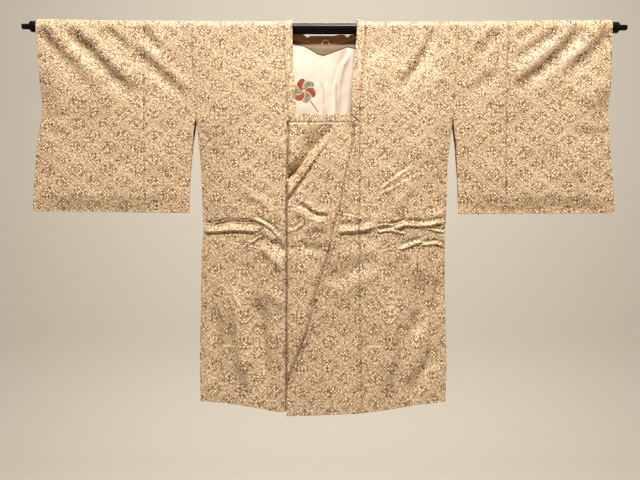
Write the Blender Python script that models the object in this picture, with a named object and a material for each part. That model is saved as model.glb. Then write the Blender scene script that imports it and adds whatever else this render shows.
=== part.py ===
"""Michiyuki coat hanging flat over a round rod, at its real size.

The frame is metres with +Z up. X runs along the rod to the viewer's right, which is the wearer's left, and
the front of the coat faces -Y. The origin is the middle of the rod's axis. Tables are in millimetres.
"""

import math
from collections import namedtuple

import bmesh
import bpy
import numpy as np
from mathutils import Vector

MM = 0.001

# Cloth
WALL = 1.6  # outer cloth with its hem and seam allowances
LINING_WALL = 1.0
GAP = 0.3  # between pieces at a seam
HALF_GAP = GAP / 2
SEWN_DEPTH = WALL + HALF_GAP  # from the middle plane to the outer face where front and back are sewn together

# Rod
ROD_RADIUS = 13.0
ROD_HALF_LENGTH = 698.0
ROD_CHAMFER = 2.5
ROD_SAG = 3.9  # how far the rod's middle bends down under the load, from its ends
ROD_TILT = 1.3  # without the sag, the -X end lies this far above the middle and the other end below it
ROD_RINGS = 8  # along the rod
STUB_RADIUS = 6.5
STUB_END = 717.0
ROD_SIDES = 28

# Landmark heights, downwards from the rod's axis
CREST_LEVEL = 20.0  # level in the edge tables that stands for the top of the rod's round
SETTLE_Z = -60.0  # where the cloth has left the rod's round
BACK_HEM_Z = -884.0
BAND_BOTTOM_Z = -227.0
BAND_WIDTH = 20.0
BAND_RISE = 4.9  # the thick neck band's inner edge stands this much higher over the rod than the shoulder
MITRE_RISE = 3.5  # from the bottom band's seam up to the outer end of each mitre
MITRE_GAP = 1.0
BACK_NECK_SEAM_Z = -40.0

# Landmark widths
NECK_SEAM_X = 98.0  # where the back panels meet the neck band
NECK_EDGE_X = 77.0
UNDER_EDGE_X = 78.0  # free edge of the hidden overlap

# Closing, left front over right
LIFT = 6.0  # how far the over front lies in front of the under front
LIFT_FULL_X = 90.0
LIFT_GONE_X = 225.0
LIFT_START_Z = -25.0
LIFT_FULL_Z = -170.0
FOLD_RADIUS = 2.2  # of the folded edge of the over front
SAG_NEAR_FOLD = 4.0  # the under front's sag starts this far from that edge
SAG_FULL = 24.0

Level = namedtuple("Level", "z x")
Depth = namedtuple("Depth", "z depth")
Place = namedtuple("Place", "x z")
Crest = namedtuple("Crest", "x radius")
Fold = namedtuple("Fold", "x0 z0 x1 z1 width depth")

# Radius at which the cloth goes over the rod, from the origin's level: the rod's ends lie higher than that
CREST = [
    Crest(-680, 22.0), Crest(-560, 19.5), Crest(-320, 17.0), Crest(-112, 16.0), Crest(112, 16.0),
    Crest(340, 16.5), Crest(680, 20.0),
]

# Sides of the body: the armhole seam, then the open vent, then the side seam
BODY_RIGHT_SIDE = [
    Level(20, -316), Level(-215, -304), Level(-233, -301), Level(-300, -295), Level(-328, -293),
    Level(-483, -287), Level(-521, -291), Level(-704, -294), Level(-786, -296), Level(-884, -294),
]
BODY_LEFT_SIDE = [
    Level(20, 316), Level(-67, 313), Level(-151, 308), Level(-215, 303), Level(-245, 300),
    Level(-296, 295), Level(-328, 292), Level(-407, 290), Level(-493, 286), Level(-621, 285),
    Level(-799, 290), Level(-884, 287),
]

# Sleeves: the inner edge goes on below the armhole as an open edge, and the outer edge is the wrist side
RIGHT_SLEEVE_INNER = [
    Level(20, -316), Level(-215, -304), Level(-247, -309), Level(-280, -312), Level(-332, -317),
    Level(-438, -321),
]
RIGHT_SLEEVE_OUTER = [
    Level(21, -678), Level(-81, -674), Level(-177, -668), Level(-205, -669), Level(-272, -682),
    Level(-369, -689), Level(-438, -693),
]
LEFT_SLEEVE_INNER = [
    Level(20, 316), Level(-67, 313), Level(-151, 308), Level(-215, 303), Level(-243, 306),
    Level(-275, 310), Level(-358, 315), Level(-440, 318),
]
LEFT_SLEEVE_OUTER = [
    Level(18, 676), Level(-140, 674), Level(-196, 671), Level(-248, 675), Level(-310, 680),
    Level(-402, 688), Level(-440, 688),
]
RIGHT_PIECING_SEAM = [Level(20, -425), Level(-438, -428)]
LEFT_PIECING_SEAM = [Level(20, 435), Level(-119, 429), Level(-438, 429)]
RIGHT_SLEEVE_BOTTOM = [Place(-693, -433), Place(-321, -438)]
LEFT_SLEEVE_BOTTOM = [Place(318, -440), Place(688, -438)]
SLEEVE_CORNER = 12.0  # radius of the outer bottom corner

# Neck bands and the seams that go on below them
RIGHT_BAND_EDGE = [
    Level(20, -76), Level(-39, -75), Level(-89, -73), Level(-125, -70), Level(-207, -66),
]
RIGHT_BAND_SEAM = [
    Level(20, -97), Level(-70, -96), Level(-141, -91), Level(-195, -87), Level(-227, -85),
    Level(-406, -89), Level(-924, -90),
]
LEFT_BAND_EDGE = [Level(20, 78), Level(-52, 73), Level(-130, 65), Level(-209, 62)]
LEFT_BAND_SEAM = [
    Level(20, 98), Level(-52, 94), Level(-82, 92), Level(-130, 87), Level(-171, 84),
    Level(-225, 81), Level(-618, 81), Level(-922, 87),
]

# Folded edge of the over front: a diagonal, then the straight free edge
FOLD_LINE = [
    Level(-226, 71), Level(-278, 68), Level(-356, 52), Level(-431, 38), Level(-490, 21),
    Level(-534, 13), Level(-632, -19), Level(-714, -37), Level(-797, -69), Level(-850, -87),
    Level(-922, -89),
]
FLAP_EDGE = [Level(-218, 88), Level(-290, 240), Level(-848, -76), Level(-920, -78)]
OVERLAP_TOP_Z = -225.0

# Front hems drop towards the middle
RIGHT_HEM = [
    Place(-295, -884), Place(-236, -885), Place(-156, -896), Place(-126, -902), Place(-90, -906),
    Place(90, -910),
]
LEFT_HEM = [
    Place(-89, -913), Place(-10, -911), Place(82, -907), Place(134, -901), Place(215, -890), Place(288, -885),
]

# Distance of the outer face from the rod's plane once the cloth hangs clear of the rod
BODY_EDGE = [Depth(-60, 15.5), Depth(-211, 12), Depth(-328, SEWN_DEPTH), Depth(-920, SEWN_DEPTH)]
FRONT_MIDDLE = [
    Depth(-60, 17), Depth(-120, 20), Depth(-300, 26), Depth(-450, 26), Depth(-650, 22), Depth(-920, 19),
]
BACK_MIDDLE = [Depth(-60, 16.5), Depth(-300, 19), Depth(-650, 18), Depth(-880, 15)]
SLEEVE_INNER_EDGE = [Depth(-60, 15.5), Depth(-211, 12), Depth(-330, 7), Depth(-428, SEWN_DEPTH)]
SLEEVE_BELLY = [Depth(-60, 17), Depth(-211, 13), Depth(-330, 8.5), Depth(-428, SEWN_DEPTH)]
SLEEVE_OUTER_EDGE = [Depth(-60, 16), Depth(-195, 11), Depth(-248, SEWN_DEPTH)]
EDGE_POWER = 4  # how near to its edge the cloth turns in

# Largest folds: each runs from one point to another; a ridge is positive and a trough negative
FRONT_FOLDS = [
    Fold(-281, -485, -149, -482, 11, -6.0), Fold(-279, -467, -159, -465, 9, 3.5),
    Fold(-144, -469, -86, -512, 12, -5.0), Fold(47, -489, 114, -481, 11, -4.0),
    Fold(149, -481, 195, -467, 11, -5.0), Fold(195, -467, 278, -467, 11, -5.0),
    Fold(133, -485, 185, -489, 9, 3.0), Fold(178, -529, 220, -512, 11, -3.5),
    Fold(220, -512, 278, -517, 11, -3.5), Fold(252, 8, 172, -151, 18, -4.5),
    Fold(-667, 0, -583, -90, 17, -4.5), Fold(-590, -6, -444, -145, 18, -5.5),
    Fold(-496, -6, -333, -156, 17, -5.0), Fold(-427, 8, -370, -56, 15, -3.5),
    Fold(596, 0, 446, -135, 17, -6.0), Fold(661, -4, 575, -94, 16, -4.5), Fold(548, 4, 481, -47, 14, -3.5),
    Fold(407, -5, 326, -80, 16, -4.5), Fold(402, -110, 344, -145, 15, -3.5),
]
BACK_FOLDS = [
    Fold(-268, -475, -119, -487, 12, -4.5), Fold(117, -491, 266, -471, 12, -5.0),
    Fold(-60, -460, 69, -475, 11, -3.0), Fold(-240, 4, -165, -156, 17, -4.0),
    Fold(249, 4, 180, -136, 17, -4.0), Fold(-580, -4, -440, -140, 17, -5.0),
    Fold(590, -2, 452, -133, 17, -5.0), Fold(-655, -2, -575, -92, 16, -4.0), Fold(420, 2, 335, -92, 16, -4.0),
]
UNDER_FOLDS = [
    Fold(38, -231, -83, -358, 13, 5.5), Fold(28, -252, -70, -407, 12, -4.5),
    Fold(-60, -417, 20, -445, 12, -3.5), Fold(-30, -491, 14, -487, 11, -3.0),
    Fold(-50, -517, 0, -537, 11, -3.0),
]

# Inside of the back neck
BACK_NECK_EDGE = [
    Place(-77, -6), Place(-56, -6.5), Place(-47, -11), Place(-41, -17), Place(-35, -10.5), Place(-20, -9.5),
    Place(30, -9.5), Place(40, -7.5), Place(50, -10), Place(55, -17), Place(61, -10), Place(77, -8),
]
FACING_EDGE = [
    Place(-76, -33), Place(-50, -38), Place(-32, -47), Place(-17, -57), Place(-2, -61), Place(20, -53),
    Place(39, -46), Place(54, -40), Place(76, -45),
]
FACING_DROP = 2.0  # facing's top below the neck edge
LINING_TOP_Z = -30.0
LINING_HALF_WIDTH = 236.0
LINING_HEM_Z = -872.0
LINING_EASE = 3.0  # the lining hangs this far clear of the back below the neck
LINING_EASE_Z = (-36.0, -90.0)
LINING_FLARE = 2.0  # sideways run of the lining's shoulder for each millimetre down
NECK_EASE = 2.0  # the lining's top stays this far inside the back panels' neck edges
FACING_REACH = 6.0  # of the facing beyond the neck's edge on each side
LOOP_CENTRE = Place(2.3, -31)
LOOP_RADIUS = 8.0
LOOP_LEG = 6.0
LOOP_THREAD = 1.3  # radius of the loop's cord

# Grid densities
ARC_ROWS = 3
SLEEVE_ROWS = (9, 5)  # above and below the end of its slanting folds
SLEEVE_COLUMNS = (5, 11)  # of the width beside the body and of the wrist width
SLEEVE_FOLDS_END = 0.42  # of the sleeve's length
BODY_ROWS = (11, 9, 10)  # above, through and below the waist's creases
WAIST_TOP = 0.48  # of the body's length
WAIST_FOOT = 0.60
FRONT_COLUMNS = 11
LINING_ROW_POWER = 1.3  # rows lie closer together towards the lining's top
NECK_COLUMN_SHARE = 0.34  # of a back panel's width that lies beside the neck's cut-out

Finish = namedtuple("Finish", "colour roughness metallic")
FINISHES = {
    "silk": Finish((0.74, 0.50, 0.29), 0.55, 0.0),
    "facing_cloth": Finish((0.22, 0.13, 0.07), 0.75, 0.0),
    "lining_silk": Finish((0.90, 0.82, 0.72), 0.45, 0.0),
    "loop_cord": Finish((0.62, 0.45, 0.26), 0.6, 0.0),
    "painted_steel": Finish((0.012, 0.012, 0.012), 0.25, 0.3),
}


def clear_scene():
    """Starts from an empty scene."""
    for thing in list(bpy.data.objects):
        bpy.data.objects.remove(thing, do_unlink=True)


def finish_of(name, key):
    """A material of its own for a piece, in the finish named key."""
    finish = FINISHES[key]
    material = bpy.data.materials.new(name)
    material.use_nodes = True
    shader = material.node_tree.nodes["Principled BSDF"]
    shader.inputs["Base Color"].default_value = (*finish.colour, 1.0)
    shader.inputs["Roughness"].default_value = finish.roughness
    shader.inputs["Metallic"].default_value = finish.metallic
    return material


def add_piece(name, mesh, key):
    """Turns a bmesh in metres into a named object with its own material."""
    data = bpy.data.meshes.new(name)
    bmesh.ops.recalc_face_normals(mesh, faces=mesh.faces[:])
    mesh.to_mesh(data)
    mesh.free()
    data.materials.append(finish_of(name, key))
    data.shade_smooth()
    data.set_sharp_from_angle(angle=math.radians(40))
    piece = bpy.data.objects.new(name, data)
    bpy.context.scene.collection.objects.link(piece)
    return piece


def at_height(table, z):
    """x on an edge given by a table of levels."""
    return float(np.interp(-z, [-row[0] for row in table], [row[1] for row in table]))


def across(table, x):
    """The second column of a table whose first column is x."""
    return float(np.interp(x, [row[0] for row in table], [row[1] for row in table]))


def smooth(value, start, end):
    """0 at start, 1 at end, level at both."""
    t = min(max((value - start) / (end - start), 0.0), 1.0)
    return t * t * (3 - 2 * t)


def fold_height(folds, x, z):
    """Sum of the ridges and troughs at a point; each fades at its ends and sides."""
    total = 0.0
    for fold in folds:
        run = Vector((fold.x1 - fold.x0, fold.z1 - fold.z0))
        away = Vector((x - fold.x0, z - fold.z0))
        t = away.dot(run) / run.length_squared
        if -0.25 < t < 1.25:
            nearest = min(max(t, 0.0), 1.0)
            off = (away - nearest * run).length / fold.width
            total += fold.depth * math.exp(-off * off) * smooth(t, -0.25, 0.25) * smooth(t, 1.25, 0.75)
    return total


def body_depth(x, z, middle):
    """Depth of a body panel: full in the middle, closing to the seams at the sides."""
    left, right = at_height(BODY_RIGHT_SIDE, z), at_height(BODY_LEFT_SIDE, z)
    off = min(abs(2 * (x - left) / (right - left) - 1), 1.0)
    centre, edge = at_height(middle, z), at_height(BODY_EDGE, z)
    return centre + (edge - centre) * off**EDGE_POWER


def sleeve_depth(x, z):
    """Depth of a sleeve's layer, sewn at its bottom and below the wrist opening."""
    if x > 0:
        inner, outer = at_height(LEFT_SLEEVE_INNER, z), at_height(LEFT_SLEEVE_OUTER, z)
    else:
        inner, outer = at_height(RIGHT_SLEEVE_INNER, z), at_height(RIGHT_SLEEVE_OUTER, z)
    t = min(max((x - inner) / (outer - inner), 0.0), 1.0)
    belly = at_height(SLEEVE_BELLY, z)
    from_inner = (at_height(SLEEVE_INNER_EDGE, z) - belly) * (1 - t) ** EDGE_POWER
    from_outer = (at_height(SLEEVE_OUTER_EDGE, z) - belly) * t ** (2 * EDGE_POWER)
    return max(belly + from_inner + from_outer, SEWN_DEPTH)


def hung_depth(x, z, middle, folds):
    """Depth of the cloth below the rod's axis, from the rod's round to the hanging form."""
    in_sleeve = x < at_height(RIGHT_SLEEVE_INNER, z) + GAP or x > at_height(LEFT_SLEEVE_INNER, z) - GAP
    if in_sleeve:
        hung = sleeve_depth(x, z)
    else:
        hung = body_depth(x, z, middle)
    radius = across(CREST, x)
    settled = smooth(z, 0.0, SETTLE_Z)
    room = smooth(hung, SEWN_DEPTH, 3 * SEWN_DEPTH)  # folds die out at a seam
    return radius + (hung - radius) * settled + fold_height(folds, x, z) * settled * room


def front_depth(x, z):
    return hung_depth(x, z, FRONT_MIDDLE, FRONT_FOLDS)


def back_depth(x, z):
    return hung_depth(x, z, BACK_MIDDLE, BACK_FOLDS)


def over_depth(x, z):
    """The over front lies in front of the under front, and joins its depth towards the side."""
    lift = smooth(x, LIFT_GONE_X, LIFT_FULL_X) * smooth(z, LIFT_START_Z, LIFT_FULL_Z)
    return front_depth(x, z) + LIFT * lift


def under_depth(x, z):
    """The under front, with its own sag pleats where the over front is folded away."""
    fold_x = at_height(FOLD_LINE, z)
    beside_fold = smooth(x, fold_x - SAG_NEAR_FOLD, fold_x - SAG_FULL)
    return front_depth(x, z) + fold_height(UNDER_FOLDS, x, z) * beside_fold


def on_drape(x, row, hem_z, side, depth, rise=0.0):
    """A point of hanging cloth and its way in.

    row runs from 1 at the crest to 0 at the axis's level, then down to -1 at the hem. side is -1 in front and
    +1 behind. rise lifts the cloth off the rod's round.
    """
    if row > 0:
        radius = across(CREST, x)
        angle = math.pi / 2 * (1 - row) + HALF_GAP / radius * (row == 1)
        out = Vector((0, side * math.sin(angle), math.cos(angle)))
        return Vector((x, 0, 0)) + (radius + rise * smooth(row, 0, 1)) * out, -out
    z = -row * hem_z
    return Vector((x, side * depth(x, z), z)), Vector((0, -side, 0))


def panel(name, columns, rows, place, key="silk", wall=WALL, skip=None):
    """A wall of cloth: a grid whose point goes to place(u, v), extruded to its inner face.

    columns and rows list the grid's positions, and skip(u, v) says which faces are cut away.
    """
    mesh = bmesh.new()
    bmesh.ops.create_grid(mesh, x_segments=len(columns) - 1, y_segments=len(rows) - 1, size=0.5)
    way_in = mesh.verts.layers.float_vector.new("way_in")
    if skip:
        step = Vector((len(columns) - 1, len(rows) - 1))
        cut = []
        for face in mesh.faces:
            centre = face.calc_center_median()
            u = columns[int((centre.x + 0.5) * step.x)]
            v = rows[int((0.5 - centre.y) * step.y)]
            if skip(u, v):
                cut.append(face)
        bmesh.ops.delete(mesh, geom=cut, context="FACES")
    for vertex in mesh.verts:
        u = columns[round((vertex.co.x + 0.5) * (len(columns) - 1))]
        v = rows[round((0.5 - vertex.co.y) * (len(rows) - 1))]
        vertex.co, vertex[way_in] = place(u, v)
    shell = bmesh.ops.extrude_face_region(mesh, geom=mesh.faces[:])
    for item in shell["geom"]:
        if isinstance(item, bmesh.types.BMVert):
            item.co += item[way_in] * wall
    bmesh.ops.scale(mesh, vec=(MM, MM, MM), verts=mesh.verts[:])
    return add_piece(name, mesh, key)


def spaced(start, end, count):
    """count equal steps from start to end."""
    return [float(v) for v in np.linspace(start, end, count + 1)]


def body_rows():
    """Rows of a body panel below the axis, close together through the waist's creases."""
    upper, waist, lower = BODY_ROWS
    return (
        spaced(0, -WAIST_TOP, upper)[:-1]
        + spaced(-WAIST_TOP, -WAIST_FOOT, waist)[:-1]
        + spaced(-WAIST_FOOT, -1, lower)
    )


def crest_rows(hanging):
    """Rows from the crest over the rod's round, then the hanging ones."""
    return spaced(1, 0, ARC_ROWS)[:-1] + hanging


def mix(a, b, t):
    return a + (b - a) * t


def rows_below(top_z, hem_z):
    """The body panels' rows below top_z, so that an overlap's rows meet theirs at the seam."""
    first = top_z / -hem_z
    return [first] + [row for row in body_rows() if row < first - 0.01]


def row_height(row, hem_z):
    """Height that a row's edges are read at: the arc's rows keep the axis's level."""
    return -row * hem_z if row < 0 else CREST_LEVEL * row


def side_panel(name, near, far, hem, side, depth, rows, columns):
    """A panel from the crest down to its hem, between two edges that already leave the seams' gaps."""

    def place(u, v):
        x = mix(near(CREST_LEVEL), far(CREST_LEVEL), u)
        for _ in range(3):
            hem_z = across(hem, x)
            z = row_height(v, hem_z)
            x = mix(near(z), far(z), u)
        return on_drape(x, v, hem_z, side, depth)

    return panel(name, columns, rows, place)


def edge(table, offset):
    """A table's edge as a function of height, moved sideways by offset."""
    return lambda z: at_height(table, z) + offset


def rounded(table, bottom_z, toward):
    """An outer sleeve edge whose bottom corner is round; toward is +1 if the sleeve lies on its +X side."""

    def x_at(z):
        drop = max(SLEEVE_CORNER - (z - bottom_z), 0.0)
        half_chord = math.sqrt(max(SLEEVE_CORNER**2 - drop**2, 0.0))
        return at_height(table, z) + toward * (SLEEVE_CORNER - half_chord)

    return x_at


def make_sleeve(prefix, inner, seam, outer, bottom, toward):
    """A sleeve in front and behind: the main width beside the body and the pieced width at the wrist."""
    corner_z = min(place.z for place in bottom)
    last = SLEEVE_CORNER / abs(corner_z)
    upper, lower = SLEEVE_ROWS
    hanging = spaced(0, -SLEEVE_FOLDS_END, upper)[:-1] + spaced(-SLEEVE_FOLDS_END, -(1 - last), lower)
    rows = crest_rows(hanging + [-(1 - last / 3), -1.0])
    main_edge, pieced_edge = edge(seam, -toward * HALF_GAP), edge(seam, toward * HALF_GAP)
    inner_edge = edge(inner, toward * HALF_GAP)
    wrist = rounded(outer, across(bottom, at_height(outer, corner_z)), -toward)
    for half, side, depth in (("front", -1, front_depth), ("back", 1, back_depth)):
        main, wide = spaced(0, 1, SLEEVE_COLUMNS[0]), spaced(0, 1, SLEEVE_COLUMNS[1])
        side_panel(f"{prefix}_{half}", inner_edge, main_edge, bottom, side, depth, rows, main)
        side_panel(f"{prefix}_wrist_{half}", pieced_edge, wrist, bottom, side, depth, rows, wide)


def make_fronts():
    """The two front body panels, from the armhole to the neck band and the overlap's seam."""
    rows, columns = crest_rows(body_rows()), spaced(0, 1, FRONT_COLUMNS)
    right_side, right_seam = edge(BODY_RIGHT_SIDE, HALF_GAP), edge(RIGHT_BAND_SEAM, -HALF_GAP)
    left_seam, left_side = edge(LEFT_BAND_SEAM, HALF_GAP), edge(BODY_LEFT_SIDE, -HALF_GAP)
    side_panel("front_right", right_side, right_seam, RIGHT_HEM, -1, front_depth, rows, columns)
    side_panel("front_left", left_seam, left_side, LEFT_HEM, -1, over_depth, rows, columns)


def make_backs():
    """The back body panels, with the centre seam between them and the square neck cut out at the top."""
    neck_column = NECK_COLUMN_SHARE
    neck_row = BACK_NECK_SEAM_Z / -BACK_HEM_Z
    columns = spaced(0, neck_column, 3)[:-1] + spaced(neck_column, 1, 6)
    rows = crest_rows([0.0, neck_row] + [row for row in body_rows() if row < neck_row - 0.01])
    for name, table, way in (("back_right", BODY_RIGHT_SIDE, -1), ("back_left", BODY_LEFT_SIDE, 1)):

        def place(u, v, table=table, way=way):
            z = row_height(v, BACK_HEM_Z)
            side_x = at_height(table, z) - way * HALF_GAP
            neck_x = way * (NECK_SEAM_X + HALF_GAP)
            if u <= neck_column:
                x = mix(way * HALF_GAP, neck_x, u / neck_column)
            else:
                x = mix(neck_x, side_x, (u - neck_column) / (1 - neck_column))
            return on_drape(x, v, BACK_HEM_Z, 1, back_depth)

        panel(name, columns, rows, place, skip=lambda u, v: u < neck_column - 0.01 and v > neck_row + 0.001)


def make_overlap_over():
    """The over front's overlap panel: front layer, diagonal folded edge, and the flap turned in behind it."""
    front_columns, fold_columns, flap_columns = 7, 4, 5

    def place(u, v):
        hem_z = across(LEFT_HEM, at_height(LEFT_BAND_SEAM, OVERLAP_TOP_Z))
        for _ in range(3):
            z = -v * hem_z
            seam_x = at_height(LEFT_BAND_SEAM, z) - HALF_GAP
            turn_x = at_height(FOLD_LINE, z) + FOLD_RADIUS
            flap_x = at_height(FLAP_EDGE, z)
            x = mix(seam_x, turn_x, min(u, 1.0)) if u <= 2 else mix(turn_x, flap_x, u - 2)
            hem_z = across(LEFT_HEM, x)
        front_y = -over_depth(x, z)
        if u <= 1:
            return Vector((x, front_y, z)), Vector((0, 1, 0))
        if u < 2:
            angle = math.pi * (u - 1)
            out = Vector((-math.sin(angle), -math.cos(angle), 0))
            return Vector((turn_x, front_y + FOLD_RADIUS, z)) + FOLD_RADIUS * out, -out
        return Vector((x, front_y + 2 * FOLD_RADIUS, z)), Vector((0, -1, 0))

    columns = spaced(0, 1, front_columns) + spaced(1, 2, fold_columns)[1:] + spaced(2, 3, flap_columns)[1:]
    panel("overlap_over", columns, rows_below(OVERLAP_TOP_Z, across(LEFT_HEM, LEFT_BAND_SEAM[-1].x)), place)


def make_overlap_under():
    """The under front's overlap panel, which sags in soft pleats beside the diagonal edge."""

    def place(u, v):
        x = RIGHT_BAND_SEAM[-1].x
        for _ in range(3):
            z = -v * across(RIGHT_HEM, x)
            x = mix(at_height(RIGHT_BAND_SEAM, z) + HALF_GAP, UNDER_EDGE_X, u)
        return Vector((x, -under_depth(x, z), z)), Vector((0, 1, 0))

    rows = rows_below(BAND_BOTTOM_Z - GAP, across(RIGHT_HEM, RIGHT_BAND_SEAM[-1].x))
    panel("overlap_under", spaced(0, 1, 9), rows, place)


def make_front_band(name, edge_table, seam_table, hem, toward, depth):
    """A front neck band from the rod's crest down to its mitred corner; toward is the way from edge to seam.

    Its rows are the body panel's, so that the two meet along their seam.
    """
    corner_in_z, corner_out_z = BAND_BOTTOM_Z + BAND_WIDTH, BAND_BOTTOM_Z + MITRE_RISE
    seam_hem_z = across(hem, seam_table[-1].x)
    whole = [row for row in body_rows() if -row * seam_hem_z > corner_in_z + BAND_WIDTH]
    foot = -1.0

    def place(u, v):
        if v == foot:
            foot_z = mix(corner_in_z, corner_out_z, u)
            x = mix(at_height(edge_table, foot_z), at_height(seam_table, foot_z) - toward * HALF_GAP, u)
            return Vector((x, -depth(x, foot_z), foot_z)), Vector((0, 1, 0))
        z = row_height(v, seam_hem_z)
        x = mix(at_height(edge_table, z), at_height(seam_table, z) - toward * HALF_GAP, u)
        return on_drape(x, v, seam_hem_z, -1, depth, rise=BAND_RISE * (1 - u))

    panel(name, spaced(0, 1, 2), crest_rows(whole + [foot]), place)


def make_bottom_band():
    """The band across the bottom of the neck, on the under front, mitred at its right end."""

    def place(u, v):
        z = mix(BAND_BOTTOM_Z + BAND_WIDTH, BAND_BOTTOM_Z, v)
        mitre_x = mix(at_height(RIGHT_BAND_EDGE, z), at_height(RIGHT_BAND_SEAM, z), v) + MITRE_GAP
        x = mix(mitre_x, UNDER_EDGE_X, u)
        return Vector((x, -under_depth(x, z), z)), Vector((0, 1, 0))

    panel("band_bottom", spaced(0, 1, 10), spaced(0, 1, 2), place)


def make_back_band():
    """The band round the back of the neck: two arms from the crest and the drooping stretch between them."""
    rise = spaced(1, 0, ARC_ROWS)[:-1]
    arm = [(NECK_SEAM_X + NECK_EDGE_X) / 2, NECK_SEAM_X - HALF_GAP]
    edge_points = [place.x for place in BACK_NECK_EDGE]
    columns = [-arm[1], -arm[0]] + edge_points + arm

    def place(u, v):
        if v > 0:
            share = (NECK_SEAM_X - abs(u)) / (NECK_SEAM_X - NECK_EDGE_X)
            return on_drape(u, v, -1.0, 1, back_depth, rise=BAND_RISE * share)
        top_z = across(BACK_NECK_EDGE, u)
        z = {0.0: 0.0, -1.0: top_z, -2.0: (top_z + BACK_NECK_SEAM_Z) / 2, -3.0: BACK_NECK_SEAM_Z + GAP}[v]
        return Vector((u, back_depth(u, z), z)), Vector((0, -1, 0))

    rows = rise + [0.0, -1.0, -2.0, -3.0]
    panel("band_back", columns, rows, place, skip=lambda u, v: -NECK_EDGE_X <= u < NECK_EDGE_X - 1 and v > -1)


def inside_back(x, z, layer):
    """Depth on the inside of the back: layer 1 is the lining and layer 2 lies on it."""
    ease = LINING_EASE * smooth(z, *LINING_EASE_Z)
    return back_depth(x, z) - WALL - layer * GAP - (layer - 1) * LINING_WALL - ease


def make_lining():
    """The lining of the back, which shows through the neck."""

    def place(u, v):
        z = mix(LINING_TOP_Z, LINING_HEM_Z, v)
        half = min(LINING_HALF_WIDTH, NECK_SEAM_X - NECK_EASE + LINING_FLARE * (LINING_TOP_Z - z))
        x = u * half
        return Vector((x, inside_back(x, z, 1), z)), Vector((0, -1, 0))

    rows = [t**LINING_ROW_POWER for t in spaced(0, 1, 18)]
    panel("lining_back", spaced(-1, 1, 12), rows, place, "lining_silk", LINING_WALL)


def make_facing():
    """The facing inside the back neck, with its curved lower edge over the lining."""

    def place(u, v):
        x = u * (NECK_EDGE_X + FACING_REACH)
        z = mix(across(BACK_NECK_EDGE, x) - FACING_DROP, across(FACING_EDGE, x), v)
        return Vector((x, inside_back(x, z, 2), z)), Vector((0, -1, 0))

    panel("neck_facing", spaced(-1, 1, 16), spaced(0, 1, 3), place, "facing_cloth", LINING_WALL)


def make_loop():
    """The hanging loop: a small cord arch that stands on the facing."""
    curve = bpy.data.curves.new("hanging_loop", "CURVE")
    curve.dimensions = "3D"
    curve.bevel_depth = LOOP_THREAD * MM
    curve.bevel_resolution = 2
    curve.use_fill_caps = True
    arch = spaced(0, math.pi, 10)
    middle, reach = LOOP_CENTRE, LOOP_RADIUS
    route = [Place(middle.x + reach, middle.z - LOOP_LEG)]
    route += [Place(middle.x + reach * math.cos(a), middle.z + reach * math.sin(a)) for a in arch]
    route += [Place(middle.x - reach, middle.z - LOOP_LEG)]
    spline = curve.splines.new("POLY")
    spline.points.add(len(route) - 1)
    for point, spot in zip(spline.points, route):
        y = inside_back(spot.x, spot.z, 2) - LINING_WALL - GAP - LOOP_THREAD
        point.co = (spot.x * MM, y * MM, spot.z * MM, 1)
    loop = bpy.data.objects.new("hanging_loop", curve)
    curve.materials.append(finish_of("hanging_loop", "loop_cord"))
    bpy.context.scene.collection.objects.link(loop)


def rod_height(x):
    """Height of the rod's axis, which sags between its ends."""
    share = x / STUB_END
    return ROD_SAG * share**2 - ROD_TILT * share


def make_rod():
    """The hanging rod, with a thinner stub at each end for the stand that holds it."""
    left_end = [(-STUB_END, 0), (-STUB_END, STUB_RADIUS), (-ROD_HALF_LENGTH, STUB_RADIUS)]
    left_end += [(-ROD_HALF_LENGTH, ROD_RADIUS - ROD_CHAMFER), (-ROD_HALF_LENGTH + ROD_CHAMFER, ROD_RADIUS)]
    right_end = [(-x, radius) for x, radius in reversed(left_end)]
    between = [(x, ROD_RADIUS) for x in spaced(left_end[-1][0], right_end[0][0], ROD_RINGS)[1:-1]]
    mesh = bmesh.new()
    points = [mesh.verts.new((x * MM, 0, radius * MM)) for x, radius in left_end + between + right_end]
    edges = [mesh.edges.new(pair) for pair in zip(points, points[1:])]
    turn = 2 * math.pi
    bmesh.ops.spin(
        mesh, geom=points + edges, cent=(0, 0, 0), axis=(1, 0, 0), angle=turn, steps=ROD_SIDES, use_merge=True
    )
    bmesh.ops.remove_doubles(mesh, verts=mesh.verts[:], dist=0.00001)
    for vertex in mesh.verts:
        vertex.co.z += rod_height(vertex.co.x / MM) * MM
    add_piece("hanger_rod", mesh, "painted_steel")


def main():
    clear_scene()
    make_rod()
    make_fronts()
    make_backs()
    make_overlap_over()
    make_overlap_under()
    make_front_band("band_right", RIGHT_BAND_EDGE, RIGHT_BAND_SEAM, RIGHT_HEM, -1, front_depth)
    make_front_band("band_left", LEFT_BAND_EDGE, LEFT_BAND_SEAM, LEFT_HEM, 1, over_depth)
    make_bottom_band()
    make_back_band()
    right_edges = (RIGHT_SLEEVE_INNER, RIGHT_PIECING_SEAM, RIGHT_SLEEVE_OUTER, RIGHT_SLEEVE_BOTTOM)
    left_edges = (LEFT_SLEEVE_INNER, LEFT_PIECING_SEAM, LEFT_SLEEVE_OUTER, LEFT_SLEEVE_BOTTOM)
    make_sleeve("sleeve_right", *right_edges, -1)
    make_sleeve("sleeve_left", *left_edges, 1)
    make_lining()
    make_facing()
    make_loop()


main()
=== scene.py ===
"""Looks of a michiyuki coat in figured silk that hangs on a rod: cloth, folds, neck, stage, lights, camera.

Tables are in millimetres in the part's frame, with +X to the viewer's right and -Y to the front.
"""

import math
from collections import namedtuple

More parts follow.
